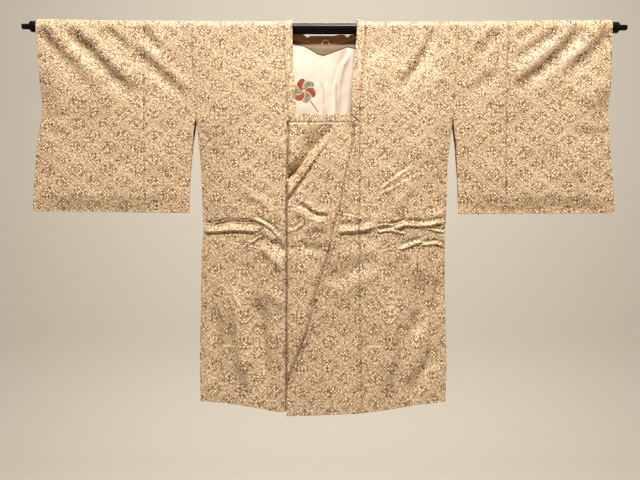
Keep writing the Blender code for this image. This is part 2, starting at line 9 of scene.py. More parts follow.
import bmesh
import bpy
import numpy as np
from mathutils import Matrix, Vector


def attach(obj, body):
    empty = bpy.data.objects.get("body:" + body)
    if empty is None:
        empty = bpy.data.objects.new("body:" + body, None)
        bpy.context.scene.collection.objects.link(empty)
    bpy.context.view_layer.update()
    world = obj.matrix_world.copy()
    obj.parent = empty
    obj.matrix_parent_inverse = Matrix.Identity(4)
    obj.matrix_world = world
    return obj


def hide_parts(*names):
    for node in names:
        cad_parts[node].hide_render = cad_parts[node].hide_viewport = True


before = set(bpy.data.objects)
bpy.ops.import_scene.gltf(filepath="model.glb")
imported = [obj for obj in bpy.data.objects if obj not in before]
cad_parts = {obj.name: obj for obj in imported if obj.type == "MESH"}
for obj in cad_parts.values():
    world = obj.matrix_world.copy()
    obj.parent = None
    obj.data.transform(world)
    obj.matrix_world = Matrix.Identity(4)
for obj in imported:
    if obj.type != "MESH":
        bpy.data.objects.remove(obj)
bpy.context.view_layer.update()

MM = 0.001

Level = namedtuple("Level", "z x")
Depth = namedtuple("Depth", "z depth")
Place = namedtuple("Place", "x z")
Crest = namedtuple("Crest", "x radius")
Crease = namedtuple("Crease", "width ridge step points")
Ditch = namedtuple("Ditch", "seam start width depth")
Tuck = namedtuple("Tuck", "reach height points")
TuckPoint = namedtuple("TuckPoint", "reach steps height")
Pleat = namedtuple("Pleat", "points narrow hold spread")
Section = namedtuple("Section", "off height")
Wave = namedtuple("Wave", "height length slant")
Step = namedtuple("Step", "z row")
Plan = namedtuple("Plan", "middle top slope repeat steps")
Cut = namedtuple("Cut", "width length area")
Noise = namedtuple("Noise", "name scale detail roughness")
Light = namedtuple("Light", "name energy size place target code")


def chart(row, *rows):
    """Rows of a table, with their columns named by a named tuple."""
    return [row(*values) for values in rows]


# Stage, in metres
FLOOR_Z = -1.75
SWEEP_BACK = 2.5
SWEEP_RADIUS = 0.6
SWEEP_FLOOR = 4.5
SWEEP_WIDTH = 9.0
SWEEP_LENGTH = 9.0
SWEEP_STEPS = 80
LIGHTS = chart(
    Light,
    ("overhead", 286, (0.9, 0.5), (0.22, -1.7, 2.6), (0, 0, -0.45), "#FFFAF2"),
    ("front_fill", 2.7, (2.5, 1.8), (-0.6, -2.4, -0.3), (0, 0, -0.5), "#FFCE98"),
    ("back_fill", 26, (1.2, 0.5), (-0.3, 1.5, 1.4), (0, 0, -0.7), "#FFF6E8"),
)
ROOM_CODE = "#F0CFA6"
ROOM_STRENGTH = 0.09
CAMERA_PLACE = (-0.0106, -1.425, -0.5018)
SENSOR = 36.0
LENS = 33.75

BACKWARD = (0, 1, 0)
FORWARD = (0, -1, 0)

# Cloth
WALL = 1.6
LINING_WALL = 1.0
GAP = 0.3
HALF_GAP = GAP / 2
SEWN_DEPTH = WALL + HALF_GAP
ROD_RADIUS = 13.0
ROD_CLEAR = 0.3
WELD = 0.00002  # metres

# Grid spacing of the cloths
FRONT_STEP = 4.0
FINE_STEP = 1.4
WAIST = (-395.0, -550.0)  # heights of the fine creases
BACK_STEP = 6.5
FINE_COLUMN_STEP = 2.8
SLEEVE_COLUMN_STEP = 4.4
SLEEVE_BACK_STEP = 5.0
BAND_COLUMN_STEP = 2.4
BAND_ROW_STEP = 3.5
BOTTOM_BAND_STEP = 3.0
LINING_COLUMN_STEP = 3.6
LINING_ROW_STEP = 4.2
FACING_STEP = 2.5
RIM_STEPS = (0.5, 1.6, 3.0)  # distance of the first grid lines from a rim
RIM_WALLS = [0.6, 0.92]  # shares of the wall left at a cloth's rounded rim and one line in
LAST_ROOM = 1.2  # steps between the last plain row and the rows of the rim
SETTLE_ROUNDS = 3  # a point's height and its edges hang together; three rounds settle them

# Counts of columns and rows
CREST_ROWS = np.linspace(1, 0, 7)[:-1]  # from the crest down to the rod's axis
NECK_COLUMNS = 16
OVER_COLUMNS = 56
TURN_COLUMNS = 9
FLAP_COLUMNS = 25
OVER_ROWS = 300
UNDER_ROWS = 340
ARM_COLUMNS = 7
ARM_ROWS = 5
BACK_BAND_COLUMNS = 45
BACK_BAND_ROWS = 9

# Shares of a cloth's width or length
NECK_SHARE = 0.34
NECK_ROW_ROOM = 0.003
CENTRE_RIM = 0.004
OVER_RIMS = (0.0, 0.004, 0.012)
OVER_RIM_END = 0.03
OVERLAP_RIMS = (0.0007, 0.002)
HAIR = 0.0005  # less than any grid step, as is CLEAR in millimetres
CLEAR = 0.1

# Landmarks, as in the part
SETTLE_Z = -60.0
BACK_HEM_Z = -884.0
BAND_BOTTOM_Z = -227.0
BAND_WIDTH = 20.0
BAND_RISE = 4.9
MITRE_RISE = 3.5
MITRE_GAP = 1.0
CREST_LEVEL = 20.0
BACK_NECK_SEAM_Z = -40.0
NECK_SEAM_X = 98.0
NECK_EDGE_X = 77.0
UNDER_EDGE_X = 78.0
SEAM_FADE = 6.0
UNDER_STEP = 4.2  # the under overlap's seam is folded forward and stands proud
UNDER_STEP_REACH = 16.0
SLEEVE_MEASURE_Z = -200.0  # where the widths of sleeves and body are taken
BODY_MEASURE_Z = -600.0
BODY_FRONT_LENGTH = 890.0
FRONT_BAND_LENGTH = 210.0
BOTTOM_BAND_LENGTH = 153.0
OVER_START_X = 80.0
OVER_TOP_X = 90.0
UNDER_SEAM_X = -90.0
# The cloth under the folded edge sinks away from it, narrowly above and broadly below
FOLD_VALLEY = chart(Depth, (-232, 0), (-262, 7), (-480, 6), (-620, 7.5), (-920, 7.5))
FOLD_VALLEY_OFF = chart(Level, (-480, 1.0), (-620, -2.0))
FOLD_VALLEY_WIDTH = chart(Level, (-480, 3.6), (-620, 7.5))
FLAT_UNTIL = 1.0  # the under front's folds begin in from the folded edge
FREE_FROM = 12.0
CORNER_LIFT = 3.8  # the bottom band rises to meet the left band
CORNER_LIFT_X = (25.0, 60.0)
BAND_DITCH = 1.3  # dip along the bottom band's seam
BAND_DITCH_WIDTH = 2.5
LIFT = 6.0  # the over front lies this far forward of the under front
LIFT_FULL_X = 90.0
LIFT_GONE_X = 225.0
LIFT_START_Z = -25.0
LIFT_FULL_Z = -170.0
FOLD_RADIUS = 2.2
FOLD_ROLL = chart(Depth, (-480, 2.4), (-620, 6.0))  # the folded edge stands a little proud
FOLD_ROLL_WIDTH = 6.0
OVERLAP_TOP_Z = -225.0
SLEEVE_CORNER = 12.0

# Edges, seams and depths of the cloths
CREST = chart(
    Crest,
    (-680, 22.0), (-560, 19.5), (-320, 17.0), (-112, 16.0), (112, 16.0), (340, 16.5), (680, 20.0),
)
BODY_RIGHT_SIDE = chart(
    Level,
    (20, -316), (-215, -304), (-233, -301), (-300, -295), (-328, -293), (-483, -287), (-521, -291),
    (-704, -294), (-786, -296), (-884, -294),
)
BODY_LEFT_SIDE = chart(
    Level,
    (20, 316), (-67, 313), (-151, 308), (-215, 303), (-245, 300), (-296, 295), (-328, 292), (-407, 290),
    (-493, 286), (-621, 285), (-799, 290), (-884, 287),
)
RIGHT_SLEEVE_INNER = chart(
    Level,
    (20, -316), (-215, -304), (-247, -309), (-280, -312), (-332, -317), (-438, -321),
)
RIGHT_SLEEVE_OUTER = chart(
    Level,
    (21, -678), (-81, -674), (-177, -668), (-205, -669), (-272, -682), (-369, -689), (-438, -693),
)
LEFT_SLEEVE_INNER = chart(
    Level,
    (20, 316), (-67, 313), (-151, 308), (-215, 303), (-243, 306), (-275, 310), (-358, 315), (-440, 318),
)
LEFT_SLEEVE_OUTER = chart(
    Level,
    (18, 676), (-140, 674), (-196, 671), (-248, 675), (-310, 680), (-402, 688), (-440, 688),
)
RIGHT_PIECING_SEAM = chart(Level, (20, -425), (-438, -428))
LEFT_PIECING_SEAM = chart(Level, (20, 435), (-119, 429), (-438, 429))
RIGHT_SLEEVE_BOTTOM = chart(Place, (-693, -433), (-321, -438))
LEFT_SLEEVE_BOTTOM = chart(Place, (318, -440), (688, -438))
RIGHT_BAND_EDGE = chart(Level, (20, -76), (-39, -75), (-89, -73), (-125, -70), (-207, -66))
RIGHT_BAND_SEAM = chart(
    Level,
    (20, -97), (-70, -96), (-141, -91), (-195, -87), (-227, -85), (-406, -89), (-924, -90),
)
LEFT_BAND_EDGE = chart(Level, (20, 78), (-52, 73), (-130, 65), (-209, 62))
LEFT_BAND_SEAM = chart(
    Level,
    (20, 98), (-52, 94), (-82, 92), (-130, 87), (-171, 84), (-225, 81), (-618, 81), (-922, 87),
)
FOLD_LINE = chart(
    Level,
    (-226, 71), (-278, 68), (-356, 52), (-431, 38), (-490, 21), (-534, 13), (-632, -19), (-714, -37),
    (-797, -69), (-850, -87), (-922, -89),
)
FLAP_EDGE = chart(Level, (-218, 88), (-290, 240), (-848, -76), (-920, -78))
RIGHT_HEM = chart(Place, (-295, -884), (-236, -885), (-156, -896), (-126, -902), (-90, -906), (90, -910))
LEFT_HEM = chart(Place, (-89, -913), (-10, -911), (82, -907), (134, -901), (215, -890), (288, -885))
BODY_EDGE = chart(Depth, (-60, 15.5), (-211, 12), (-328, SEWN_DEPTH), (-920, SEWN_DEPTH))
FRONT_MIDDLE = chart(Depth, (-60, 17), (-120, 20), (-300, 26), (-450, 26), (-650, 22), (-920, 19))
BACK_MIDDLE = chart(Depth, (-60, 16.5), (-300, 19), (-650, 18), (-880, 15))
SLEEVE_INNER_EDGE = chart(Depth, (-60, 15.5), (-211, 12), (-330, 7), (-428, SEWN_DEPTH), (-445, SEWN_DEPTH))
SLEEVE_BELLY = chart(
    Depth,
    (-60, 17), (-211, 13), (-330, 11), (-398, 10.5), (-431, SEWN_DEPTH), (-445, SEWN_DEPTH),
)
SLEEVE_OUTER_EDGE = chart(Depth, (-60, 16), (-195, 11), (-248, SEWN_DEPTH), (-445, SEWN_DEPTH))
EDGE_POWER = 4
FOLD_FORCE = 1.3  # folds are a little deeper than life, so that they read through the woven figure
EDGE_RELIEF = 0.3  # share of the creases that is left at a side seam

# Creases: a trough is a negative ridge; a step is raised above its line, or below it where negative
CREASE_STARTS = (-0.02, 0.25)  # shares of the way along
CREASE_ENDS = (1.02, 0.7)
FRONT_CREASES = chart(
    Crease,
    # right front
    (7, -5, 0, ((-123, -504), (-106, -516), (-90, -537))),
    (7, 4, 0, ((-155, -516), (-137, -527), (-113, -553), (-95, -575))),
    (5, 2.5, 0, ((-150, -478), (-130, -490), (-112, -508))),
    (6, 2.2, 0, ((-197, -387), (-174, -401), (-141, -411), (-120, -448))),
    (4, -2.4, 0, ((-291, -243), (-277, -261), (-267, -280))),
    (4, -1.6, 0, ((-267, -287), (-253, -310))),
    (11, -10, 0, ((-160, -623), (-146, -735), (-137, -864))),
    (12, 9, 0, ((-209, -607), (-202, -712), (-180, -864))),
    (9, 3.5, 0, ((-141, -614), (-116, -637), (-85, -663))),
    (11, -7, 0, ((-262, -640), (-254, -740), (-262, -860))),
    # left front, above the waist
    (9, 2.6, 0, ((215, -355), (185, -400), (161, -444))),
    (12, 2.6, 0, ((36, -462), (71, -463), (101, -464), (150, -455))),
    (9, 2.4, 0, ((240, -452), (262, -446), (296, -440))),
    # left front, below the waist
    (12, 2.4, 0, ((129, -523), (64, -534), (3, -558))),
    (10, -2.2, 0, ((115, -553), (59, -574), (-1, -602))),
    (12, 2.4, 0, ((129, -576), (64, -609), (-1, -641))),
    (12, -7, 0, ((296, -734), (245, -799), (187, -878))),
    (12, -8.5, 0, ((222, -572), (231, -665), (203, -758))),
    (11, 9, 0, ((164, -641), (157, -746), (138, -874))),
    (10, -8, 0, ((272, -590), (266, -690), (252, -800))),
    # left shoulder
    (10, -3, 3, ((254, 7), (238, -48), (217, -83), (168, -158))),
    (14, 1.8, 0, ((261, -72), (247, -211), (236, -339))),
    (12, 1, 0.6, ((120, -72), (150, -158), (159, -269))),
    # right sleeve
    (13, -0.8, 2.8, (
        (-669, 16), (-662, 2), (-653, -15), (-639, -36), (-625, -50), (-613, -64), (-594, -81),
        (-571, -106),
    )),
    (14, -1.2, 4.1, (
        (-608, 11), (-589, -12), (-571, -31), (-552, -45), (-526, -76), (-509, -92), (-493, -109),
        (-458, -139), (-425, -163),
    )),
    (9, -0.4, 1.7, ((-519, 2), (-502, -10), (-486, -22), (-453, -48))),
    (12, -0.8, 2.5, ((-436, 21), (-429, 6), (-415, -12), (-404, -26), (-389, -41), (-368, -64))),
    (13, -0.8, 3, (
        (-458, -36), (-436, -55), (-418, -71), (-401, -88), (-382, -104), (-368, -118), (-352, -132),
        (-316, -165),
    )),
    (30, -0.8, 3.3, ((-688, -78), (-665, -130), (-641, -182), (-608, -238))),
    (14, 0, 1.5, ((-594, -83), (-566, -111), (-524, -154))),
    (12, 0.4, 1.4, ((-656, -239), (-600, -239))),
    (49, 1.5, 0, ((-560, -64), (-480, -175), (-403, -263))),
    # left sleeve
    (14, -0.8, 3.4, (
        (672, 11), (660, -8), (648, -24), (634, -41), (620, -57), (604, -71), (585, -88), (559, -121),
    )),
    (14, -1.2, 4.1, (
        (608, 16), (596, -1), (580, -22), (549, -55), (533, -69), (502, -97), (484, -109), (465, -123),
        (432, -149),
    )),
    (12, -0.6, 2.2, ((559, 11), (547, -1), (526, -19), (507, -31), (484, -45), (460, -62), (441, -81))),
    (9, 0, 1.2, ((493, 4), (479, -8), (451, -31))),
    (12, -0.4, 2, ((415, 2), (401, -10), (385, -24), (368, -43), (347, -66))),
    (13, -0.4, 2, ((411, -92), (389, -111), (366, -128), (328, -154))),
    (26, -0.8, 3.8, ((686, -135), (662, -168), (639, -205))),
    (12, 0.3, 1.2, ((596, -245), (676, -243))),
)
# Tucks: dark lines where slack cloth laps over itself. Reach is the rise above the line, height its crown
TUCKS = chart(
    Tuck,
    # right front, waist
    (19, 6.5, (
        (-300, -486), (-284, -485), (-267, -484), (-244, -483), (-221, -481), (-197, -481), (-174, -483),
        (-146, -483),
    )),
    (4, 2.4, ((-300, -467), (-272, -466), (-258, -463), (-244, -460), (-225, -455), (-218, -456))),
    (4, 2.2, ((-223, -461), (-202, -463), (-188, -464), (-174, -463), (-151, -467))),
    (9, 4.4, ((-167, -453), (-153, -461), (-137, -469), (-125, -478), (-118, -488), (-109, -499))),
    (5, 1.8, ((-174, -478), (-155, -476), (-146, -473), (-132, -469))),
    (7, 4, ((-174, -510), (-167, -508), (-160, -504), (-153, -499), (-146, -496), (-137, -490))),
    (5, 1.4, ((-221, -510), (-202, -515), (-193, -518), (-179, -519))),
    (5, 1.4, ((-176, -518), (-165, -522), (-151, -524))),
    # right front, above
    (6, 3, ((-214, -362), (-190, -378), (-169, -389), (-144, -399))),
    # left front, above the waist
    (8, 5, ((211, -329), (188, -344), (167, -359), (148, -372), (132, -387))),
    (7, 4.4, ((230, -345), (202, -361), (181, -372), (160, -383), (122, -401))),
    # left front, waist
    (6, 3, ((24, -440), (45, -446), (59, -448), (73, -452), (87, -456))),
    (18, 6.5, ((27, -488), (48, -485), (64, -484), (78, -482), (92, -481), (101, -478), (120, -474))),
    (6, 3, ((118, -470), (139, -469), (153, -470), (167, -467), (176, -464), (188, -460), (200, -450))),
    (9, 4, ((120, -487), (144, -483), (153, -482), (165, -484), (176, -488), (190, -491))),
    (5, 1.5, ((134, -492), (148, -490), (158, -492), (174, -495))),
    (12, 6, (
        (148, -480), (172, -476), (181, -471), (190, -469), (204, -470), (218, -471), (232, -471),
        (246, -470), (256, -467), (270, -464), (293, -466),
    )),
    (7, 4, ((237, -476), (256, -481), (265, -483), (293, -487))),
    (11, 5, ((172, -527), (190, -522), (200, -518), (207, -515), (216, -512), (235, -508))),
    (9, 4.6, ((225, -516), (242, -515), (256, -513), (265, -513), (272, -516), (286, -525))),
    (5, 1.5, ((153, -524), (146, -526), (134, -533))),
)
UNDER_TUCKS = chart(
    Tuck,
    (9, 3, ((-92, -485), (-81, -483), (-71, -482), (-64, -478), (-55, -473), (-46, -464))),
)
# Section of a tuck: from below its line up a steep step, then back along a face that looks up. Each point
# lies at a share of the reach, and a few steps off at least.
TUCK_STARTS = (-0.02, 0.2)
TUCK_ENDS = (1.02, 0.8)
TUCK_FOOT = 0.3
TUCK_STEP = 1.8
TUCK_SECTION = chart(TuckPoint, (0, 0, -0.08), (0, 1, 0.6), (0.9, 2, -0.36), (1.1, 2.5, -0.42), (1.7, 3.5, 0))
DITCHES = chart(
    Ditch,
    (RIGHT_BAND_SEAM, 0, 2.6, 1.8), (RIGHT_BAND_SEAM, -227, 2.8, 10.0), (LEFT_BAND_SEAM, 0, 2.2, 2.8),
    (RIGHT_PIECING_SEAM, 0, 2.2, 1.4), (LEFT_PIECING_SEAM, 0, 2.2, 2.2), (BODY_RIGHT_SIDE, 0, 3.0, 0.5),
    (BODY_LEFT_SIDE, 0, 3.0, 0.5),
)
BACK_CREASES = chart(
    Crease,
    (6, 0.3, 2.7, ((-286, -479), (-199, -475), (-117, -489))),
    (6, 0.4, 1.8, ((-248, -515), (-189, -503), (-139, -513))),
    (6, 0.3, 3.1, ((111, -495), (189, -477), (278, -469))),
    (6, 0.4, 1.6, ((149, -527), (214, -513), (260, -521))),
    (6, 0.4, 1.6, ((-70, -461), (0, -467), (77, -477))),
    (15, -2.8, 1.2, ((-246, 12), (-222, -66), (-164, -159))),
    (15, -2.8, 1.2, ((257, 12), (227, -66), (178, -138))),
    (14, -3, 2, ((-592, 8), (-520, -78), (-438, -143))),
    (14, -3.3, 2.2, ((602, 10), (530, -72), (448, -137))),
    (13, -2.4, 1.6, ((-668, 10), (-616, -58), (-570, -96))),
    (13, -2.4, 1.6, ((428, 10), (370, -54), (328, -96))),
    (20, 2, 0, ((-149, -545), (-139, -703), (-131, -872))),
    (22, -1.8, 0, ((119, -545), (133, -703), (127, -872))),
    (18, 1.8, 0, ((219, -207), (213, -306), (205, -425))),
)
UNDER_CREASES = chart(
    Crease,
    (5, 0, 2.4, ((-67, -411), (-43, -422), (-32, -432), (-18, -440), (1, -441), (17, -442))),
    (9, 3.2, 0, ((-48, -478), (-20, -474), (10, -480))),
    (10, 4, 0, ((-80, -432), (-50, -440), (-20, -458), (10, -462))),
    (7, -2.5, 0, ((-92, -509), (-81, -519), (-68, -527))),
    (8, -3.4, 0, ((-64, -511), (-39, -521), (-20, -524), (1, -530))),
    (8, -2, 0, ((-39, -480), (-11, -485), (17, -492))),
    (4, 1.5, 0, ((-70, -839), (-86, -846))),
)
# The big pleat, from the corner of the neck down to the seam, and its section from upper left to lower right
PLEAT_STARTS = (0.0, 0.15)
PLEAT_GATHERS = (0.36, 0.64)  # above it the pleat's upper side is spread wide
PLEAT_POWER = 1.5
PLEAT = Pleat(((29, -226), (1, -261), (-27, -292), (-53, -322), (-85, -356), (-104, -376)), 0.25, 4.0, 4.0)
PLEAT_SHAPE = chart(
    Section,
    (-36, 0), (-24, -0.5), (-18, -5), (-3, -32), (0, -33), (1.5, -31), (4, -1), (24, 5), (29, 4.8),
    (32.5, -3.5), (36, -4), (50, 0),
)
OVER_CREASES = chart(
    Crease,
    (8, 1.1, 1.1, ((-70, -672), (-78, -763), (-86, -853))),
    (12, 1.3, 0.3, ((60, -336), (30, -475), (-10, -604))),
)

# Waves that keep flat cloth from looking ironed; each one drifts off its beat
WAVES = chart(
    Wave,
    (0.55, 190.0, 0.4), (0.45, 121.0, -0.9), (0.35, 83.0, 1.3), (0.22, 47.0, -0.3), (0.15, 29.0, 2.2),
)
WAVE_DRIFT = 0.7
DRIFT_BEAT = 0.37
DRIFT_TURN = 5

BACK_NECK_EDGE = chart(
    Place,
    (-77, -6), (-56, -6.5), (-47, -11), (-41, -17), (-35, -12.5), (-20, -12.2), (22, -12.2), (38, -9),
    (50, -10), (55, -17), (61, -10), (77, -8),
)
FACING_EDGE = chart(
    Place,
    (-76, -33), (-50, -38), (-32, -47), (-17, -57), (-2, -61), (20, -53), (39, -46), (54, -40), (76, -45),
)
FACING_DROP = 2.0
FACING_PAST_EDGE = 6.0
FACING_MID_DEPTH = 30.0
LINING_TOP_Z = -30.0
LINING_HALF_WIDTH = 236.0
LINING_HEM_Z = -872.0
LINING_TOP_IN = 2.0  # the lining's top corners lie this far inside the neck seams
LINING_WIDENS = 2.0
LINING_EASE = 5.0
LINING_EASE_Z = (-16.0, -46.0)
LINING_CREASES = chart(
    Crease,
    (4.5, 3, -7, ((60, -44), (40, -86), (29, -128), (27, -215))),
    (3.2, 1, -4.5, ((-1, -122), (-4, -215))),
    (18, 2, 0, ((-60, -60), (-52, -140), (-54, -230))),
)
LOOP_CENTRE = Place(2.3, -31)
LOOP_RADIUS = 8.0
LOOP_LEG = 4.0
LOOP_THREAD = 1.3
LOOP_ROUND = 4
LOOP_POINTS = 16

# Cuts of what shows, laid flat, in metres; an area is given where a cloth is cut out or narrows
UNDER_CUT = Cut(0.168, 0.685, None)
LINING_CUT = Cut(0.472, 0.834, 0.385)
FACING_CUT = Cut(0.166, 0.039, 0.0058)

# Where the woven figure falls on each cloth. A large lozenge is centred on every whole repeat: steps give the
# rows of lozenges by height, and middle, top, slope and repeat give the columns by width.
BODY_STEPS = chart(
    Step,
    (1025, -20), (-35, 0), (-247, 4), (-406, 7), (-624, 11), (-741, 13), (-854, 15), (-967, 17),
)
RIGHT_SLEEVE_STEPS = chart(Step, (1043, -20), (-17, 0), (-229, 4), (-392, 7), (-555, 10))
LEFT_SLEEVE_STEPS = chart(Step, (1074, -20), (-21, 0), (-240, 4), (-405, 7), (-570, 10))
BODY_RIGHT_PLAN = Plan(-180.0, -200.0, 0.015, 70.1, BODY_STEPS)
BODY_LEFT_PLAN = Plan(140.0, -200.0, -0.02, 69.0, BODY_STEPS)
RIGHT_SLEEVE_PLAN = Plan(-509.5, -200.0, 0.0, 71.3, RIGHT_SLEEVE_STEPS)
LEFT_SLEEVE_PLAN = Plan(470.6, -200.0, 0.0, 70.1, LEFT_SLEEVE_STEPS)
LINING_PLAN = Plan(0.0, 0.0, 0.0, 70.0, BODY_STEPS)


def srgb(code):
    """Linear colour from an sRGB hex code."""
    parts = [int(code[i : i + 2], 16) / 255 for i in (1, 3, 5)]
    return tuple(p / 12.92 if p <= 0.04045 else ((p + 0.055) / 1.055) ** 2.4 for p in parts) + (1.0,)


def add(tree, kind, inputs=None, stops=(), into=None, **settings):
    """Adds a node with its settings.

    Inputs are sockets to link or plain values, by name or number. Stops are a ramp's positions and sRGB
    codes. The node's first output goes into the socket that is named.
    """
    made = tree.nodes.new(kind)
    for key, value in settings.items():
        setattr(made, key, value)
    for key, value in (inputs or {}).items():
        if isinstance(value, bpy.types.NodeSocket):
            tree.links.new(value, made.inputs[key])
        else:
            made.inputs[key].default_value = value
    if stops:
        elements = made.color_ramp.elements
        while len(elements) < len(stops):
            elements.new(0.5)
        for element, (position, code) in zip(elements, stops):
            element.position = position
            element.color = srgb(code)
    if into:
        tree.links.new(made.outputs[0], into)
    return made


def work_out(tree, found, sums):
    """Adds the sums of a table to a node tree: each row has a name, an operation and its terms."""
    for name, operation, *terms in sums:
        inputs = {number: found.get(term, term) for number, term in enumerate(terms)}
        found[name] = add(tree, "ShaderNodeMath", inputs, operation=operation).outputs[0]


def new_material(name, roughness, **sockets):
    """A material with its shader's plain values set."""
    material = bpy.data.materials.new(name)
    material.use_nodes = True
    shader = material.node_tree.nodes["Principled BSDF"]
    shader.inputs["Roughness"].default_value = roughness
    for key, value in sockets.items():
        shader.inputs[key.replace("_", " ")].default_value = value
    return material, material.node_tree, shader


def at_height(table, z):
    """The second column of a table of falling heights, such as an edge's x or depth."""
    return np.interp(-np.asarray(z), [-row[0] for row in table], [row[1] for row in table])


def across(table, x):
    """The second column of a table along its first, such as x."""
    return np.interp(x, [row[0] for row in table], [row[1] for row in table])


def on_bolt(plan, x, z):
    """Place in the woven figure, in repeats across and down."""
    across_bolt = (x - plan.middle - plan.slope * (z - plan.top)) / plan.repeat
    return np.stack([across_bolt, -at_height(plan.steps, z)], axis=1)


def smooth(value, start, end):
    t = np.clip((np.asarray(value, float) - start) / (end - start), 0, 1)
    return t * t * (3 - 2 * t)


def mix(a, b, t):
    return a + (b - a) * t


def from_line(points, x, z):
    """Distance from a bent line, positive above it, and the share of the way along it."""
    x, z = np.broadcast_arrays(x, z)
    points = np.array(points, float)
    runs = points[1:] - points[:-1]
    lengths = np.linalg.norm(runs, axis=1)
    starts = np.concatenate([[0], np.cumsum(lengths)])
    nearest = np.full(x.shape, np.inf)
    signed, along = np.zeros(x.shape), np.zeros(x.shape)
    for point, run, length, start in zip(points, runs, lengths, starts):
        dx, dz = x - point[0], z - point[1]
        t = np.clip((dx * run[0] + dz * run[1]) / length**2, 0, 1)
        far = np.hypot(dx - t * run[0], dz - t * run[1])
        above = np.sign((run[0] * dz - run[1] * dx) * (1 if run[0] >= 0 else -1))
        closer = far < nearest
        signed = np.where(closer, far * above, signed)
        along = np.where(closer, start + t * length, along)
        nearest = np.where(closer, far, nearest)
    return signed, along / starts[-1]


def crease_height(creases, x, z):
    """Sum of creases, each a bent line that fades at its ends."""
    total = np.zeros(np.broadcast(x, z).shape)
    for crease in creases:
        signed, along = from_line(crease.points, x, z)
        off = signed / crease.width
        shape = (crease.ridge + crease.step * math.sqrt(math.e) * off) * np.exp(-0.5 * off**2)
        total += shape * smooth(along, *CREASE_STARTS) * smooth(along, *CREASE_ENDS)
    return total


def tuck_height(tucks, x, z):
    """Sum of tucks; each thins out towards its ends."""
    total = np.zeros(np.broadcast(x, z).shape)
    heights = [0, *(point.height for point in TUCK_SECTION)]
    for tuck in tucks:
        signed, along = from_line(tuck.points, x, z)
        thin = smooth(along, *TUCK_STARTS) * smooth(along, *TUCK_ENDS)
        offs = [max(point.reach * tuck.reach, point.steps * TUCK_STEP) for point in TUCK_SECTION]
        total += tuck.height * thin * np.interp(signed, [-TUCK_FOOT * tuck.reach, *offs], heights)
    return total


def pleat_height(x, z):
    """The large pleat of the under front: a deep dip, a broad face that looks up, a crown and a small dip."""
    signed, along = from_line(PLEAT.points, x, z)
    opened = mix(PLEAT.narrow, 1.0, along)
    seam = at_height(RIGHT_BAND_SEAM, z)
    held = smooth(x, seam, seam + PLEAT.hold) * smooth(z, BAND_BOTTOM_Z, BAND_BOTTOM_Z - SEAM_FADE)
    spread = np.where(signed > 0, mix(PLEAT.spread, 1.0, smooth(along, *PLEAT_GATHERS)), 1.0)
    height = across(PLEAT_SHAPE, -signed / (opened * spread)) * opened**PLEAT_POWER
    return height * held * smooth(along, *PLEAT_STARTS)


def waves(x, z):
    """Slow waves over a whole cloth."""
    total = 0.0
    for wave in WAVES:
        phase = (x * math.cos(wave.slant) + z * math.sin(wave.slant)) * 2 * math.pi / wave.length
        drift = WAVE_DRIFT * np.sin(phase * DRIFT_BEAT + wave.slant * DRIFT_TURN)
        total = total + wave.height * np.sin(phase + drift)
    return total


def body_depth(x, z, middle):
    left, right = at_height(BODY_RIGHT_SIDE, z), at_height(BODY_LEFT_SIDE, z)
    off = np.minimum(np.abs(2 * (x - left) / (right - left) - 1), 1.0)
    centre, side = at_height(middle, z), at_height(BODY_EDGE, z)
    return centre + (side - centre) * off**EDGE_POWER


def sleeve_depth(x, z):
    on_left = x > 0
    inner = np.where(on_left, at_height(LEFT_SLEEVE_INNER, z), at_height(RIGHT_SLEEVE_INNER, z))
    outer = np.where(on_left, at_height(LEFT_SLEEVE_OUTER, z), at_height(RIGHT_SLEEVE_OUTER, z))
    t = np.clip((x - inner) / (outer - inner), 0, 1)
    belly = at_height(SLEEVE_BELLY, z)
    from_inner = (at_height(SLEEVE_INNER_EDGE, z) - belly) * (1 - t) ** EDGE_POWER
    from_outer = (at_height(SLEEVE_OUTER_EDGE, z) - belly) * t ** (2 * EDGE_POWER)
    return np.maximum(belly + from_inner + from_outer, SEWN_DEPTH)


def hung_depth(x, z, middle, creases, tucks=()):
    """Depth of the outer face at and below the rod's axis."""
    x, z = np.broadcast_arrays(np.asarray(x, float), np.asarray(z, float))
    in_sleeve = (x < at_height(RIGHT_SLEEVE_INNER, z) + GAP) | (x > at_height(LEFT_SLEEVE_INNER, z) - GAP)
    hung = np.where(in_sleeve, sleeve_depth(x, z), body_depth(x, z, middle))
    radius = across(CREST, x)
    room = smooth(hung, SEWN_DEPTH, 3 * SEWN_DEPTH)
    form = radius + (hung - radius) * smooth(z, 0.0, SETTLE_Z)
    folds = crease_height(creases, x, z) + tuck_height(tucks, x, z)
    relief = FOLD_FORCE * folds + waves(x, z) * smooth(z, 0, SETTLE_Z)
    clear = np.sqrt(np.maximum((ROD_RADIUS + ROD_CLEAR) ** 2 - z**2, 0)) + WALL
    return np.maximum(form + relief * mix(EDGE_RELIEF, 1.0, room), np.maximum(clear, SEWN_DEPTH))


def ditches(x, z):
    """The cloth dips along its seams."""
    total = 0.0
    for ditch in DITCHES:
        off = (x - at_height(ditch.seam, z)) / ditch.width
        total = total - ditch.depth * np.exp(-off * off) * smooth(z, ditch.start, ditch.start - SEAM_FADE)
    return total


def front_depth(x, z):
    return hung_depth(x, z, FRONT_MIDDLE, FRONT_CREASES, TUCKS) + ditches(x, z)


def back_depth(x, z):
    return hung_depth(x, z, BACK_MIDDLE, BACK_CREASES)


def over_depth(x, z):
    lift = smooth(x, LIFT_GONE_X, LIFT_FULL_X) * smooth(z, LIFT_START_Z, LIFT_FULL_Z)
    return front_depth(x, z) + LIFT * lift


def over_flap_depth(x, z):
    roll = at_height(FOLD_ROLL, z) * np.exp(-((x - at_height(FOLD_LINE, z)) / FOLD_ROLL_WIDTH) ** 2)
    return over_depth(x, z) + crease_height(OVER_CREASES, x, z) + roll


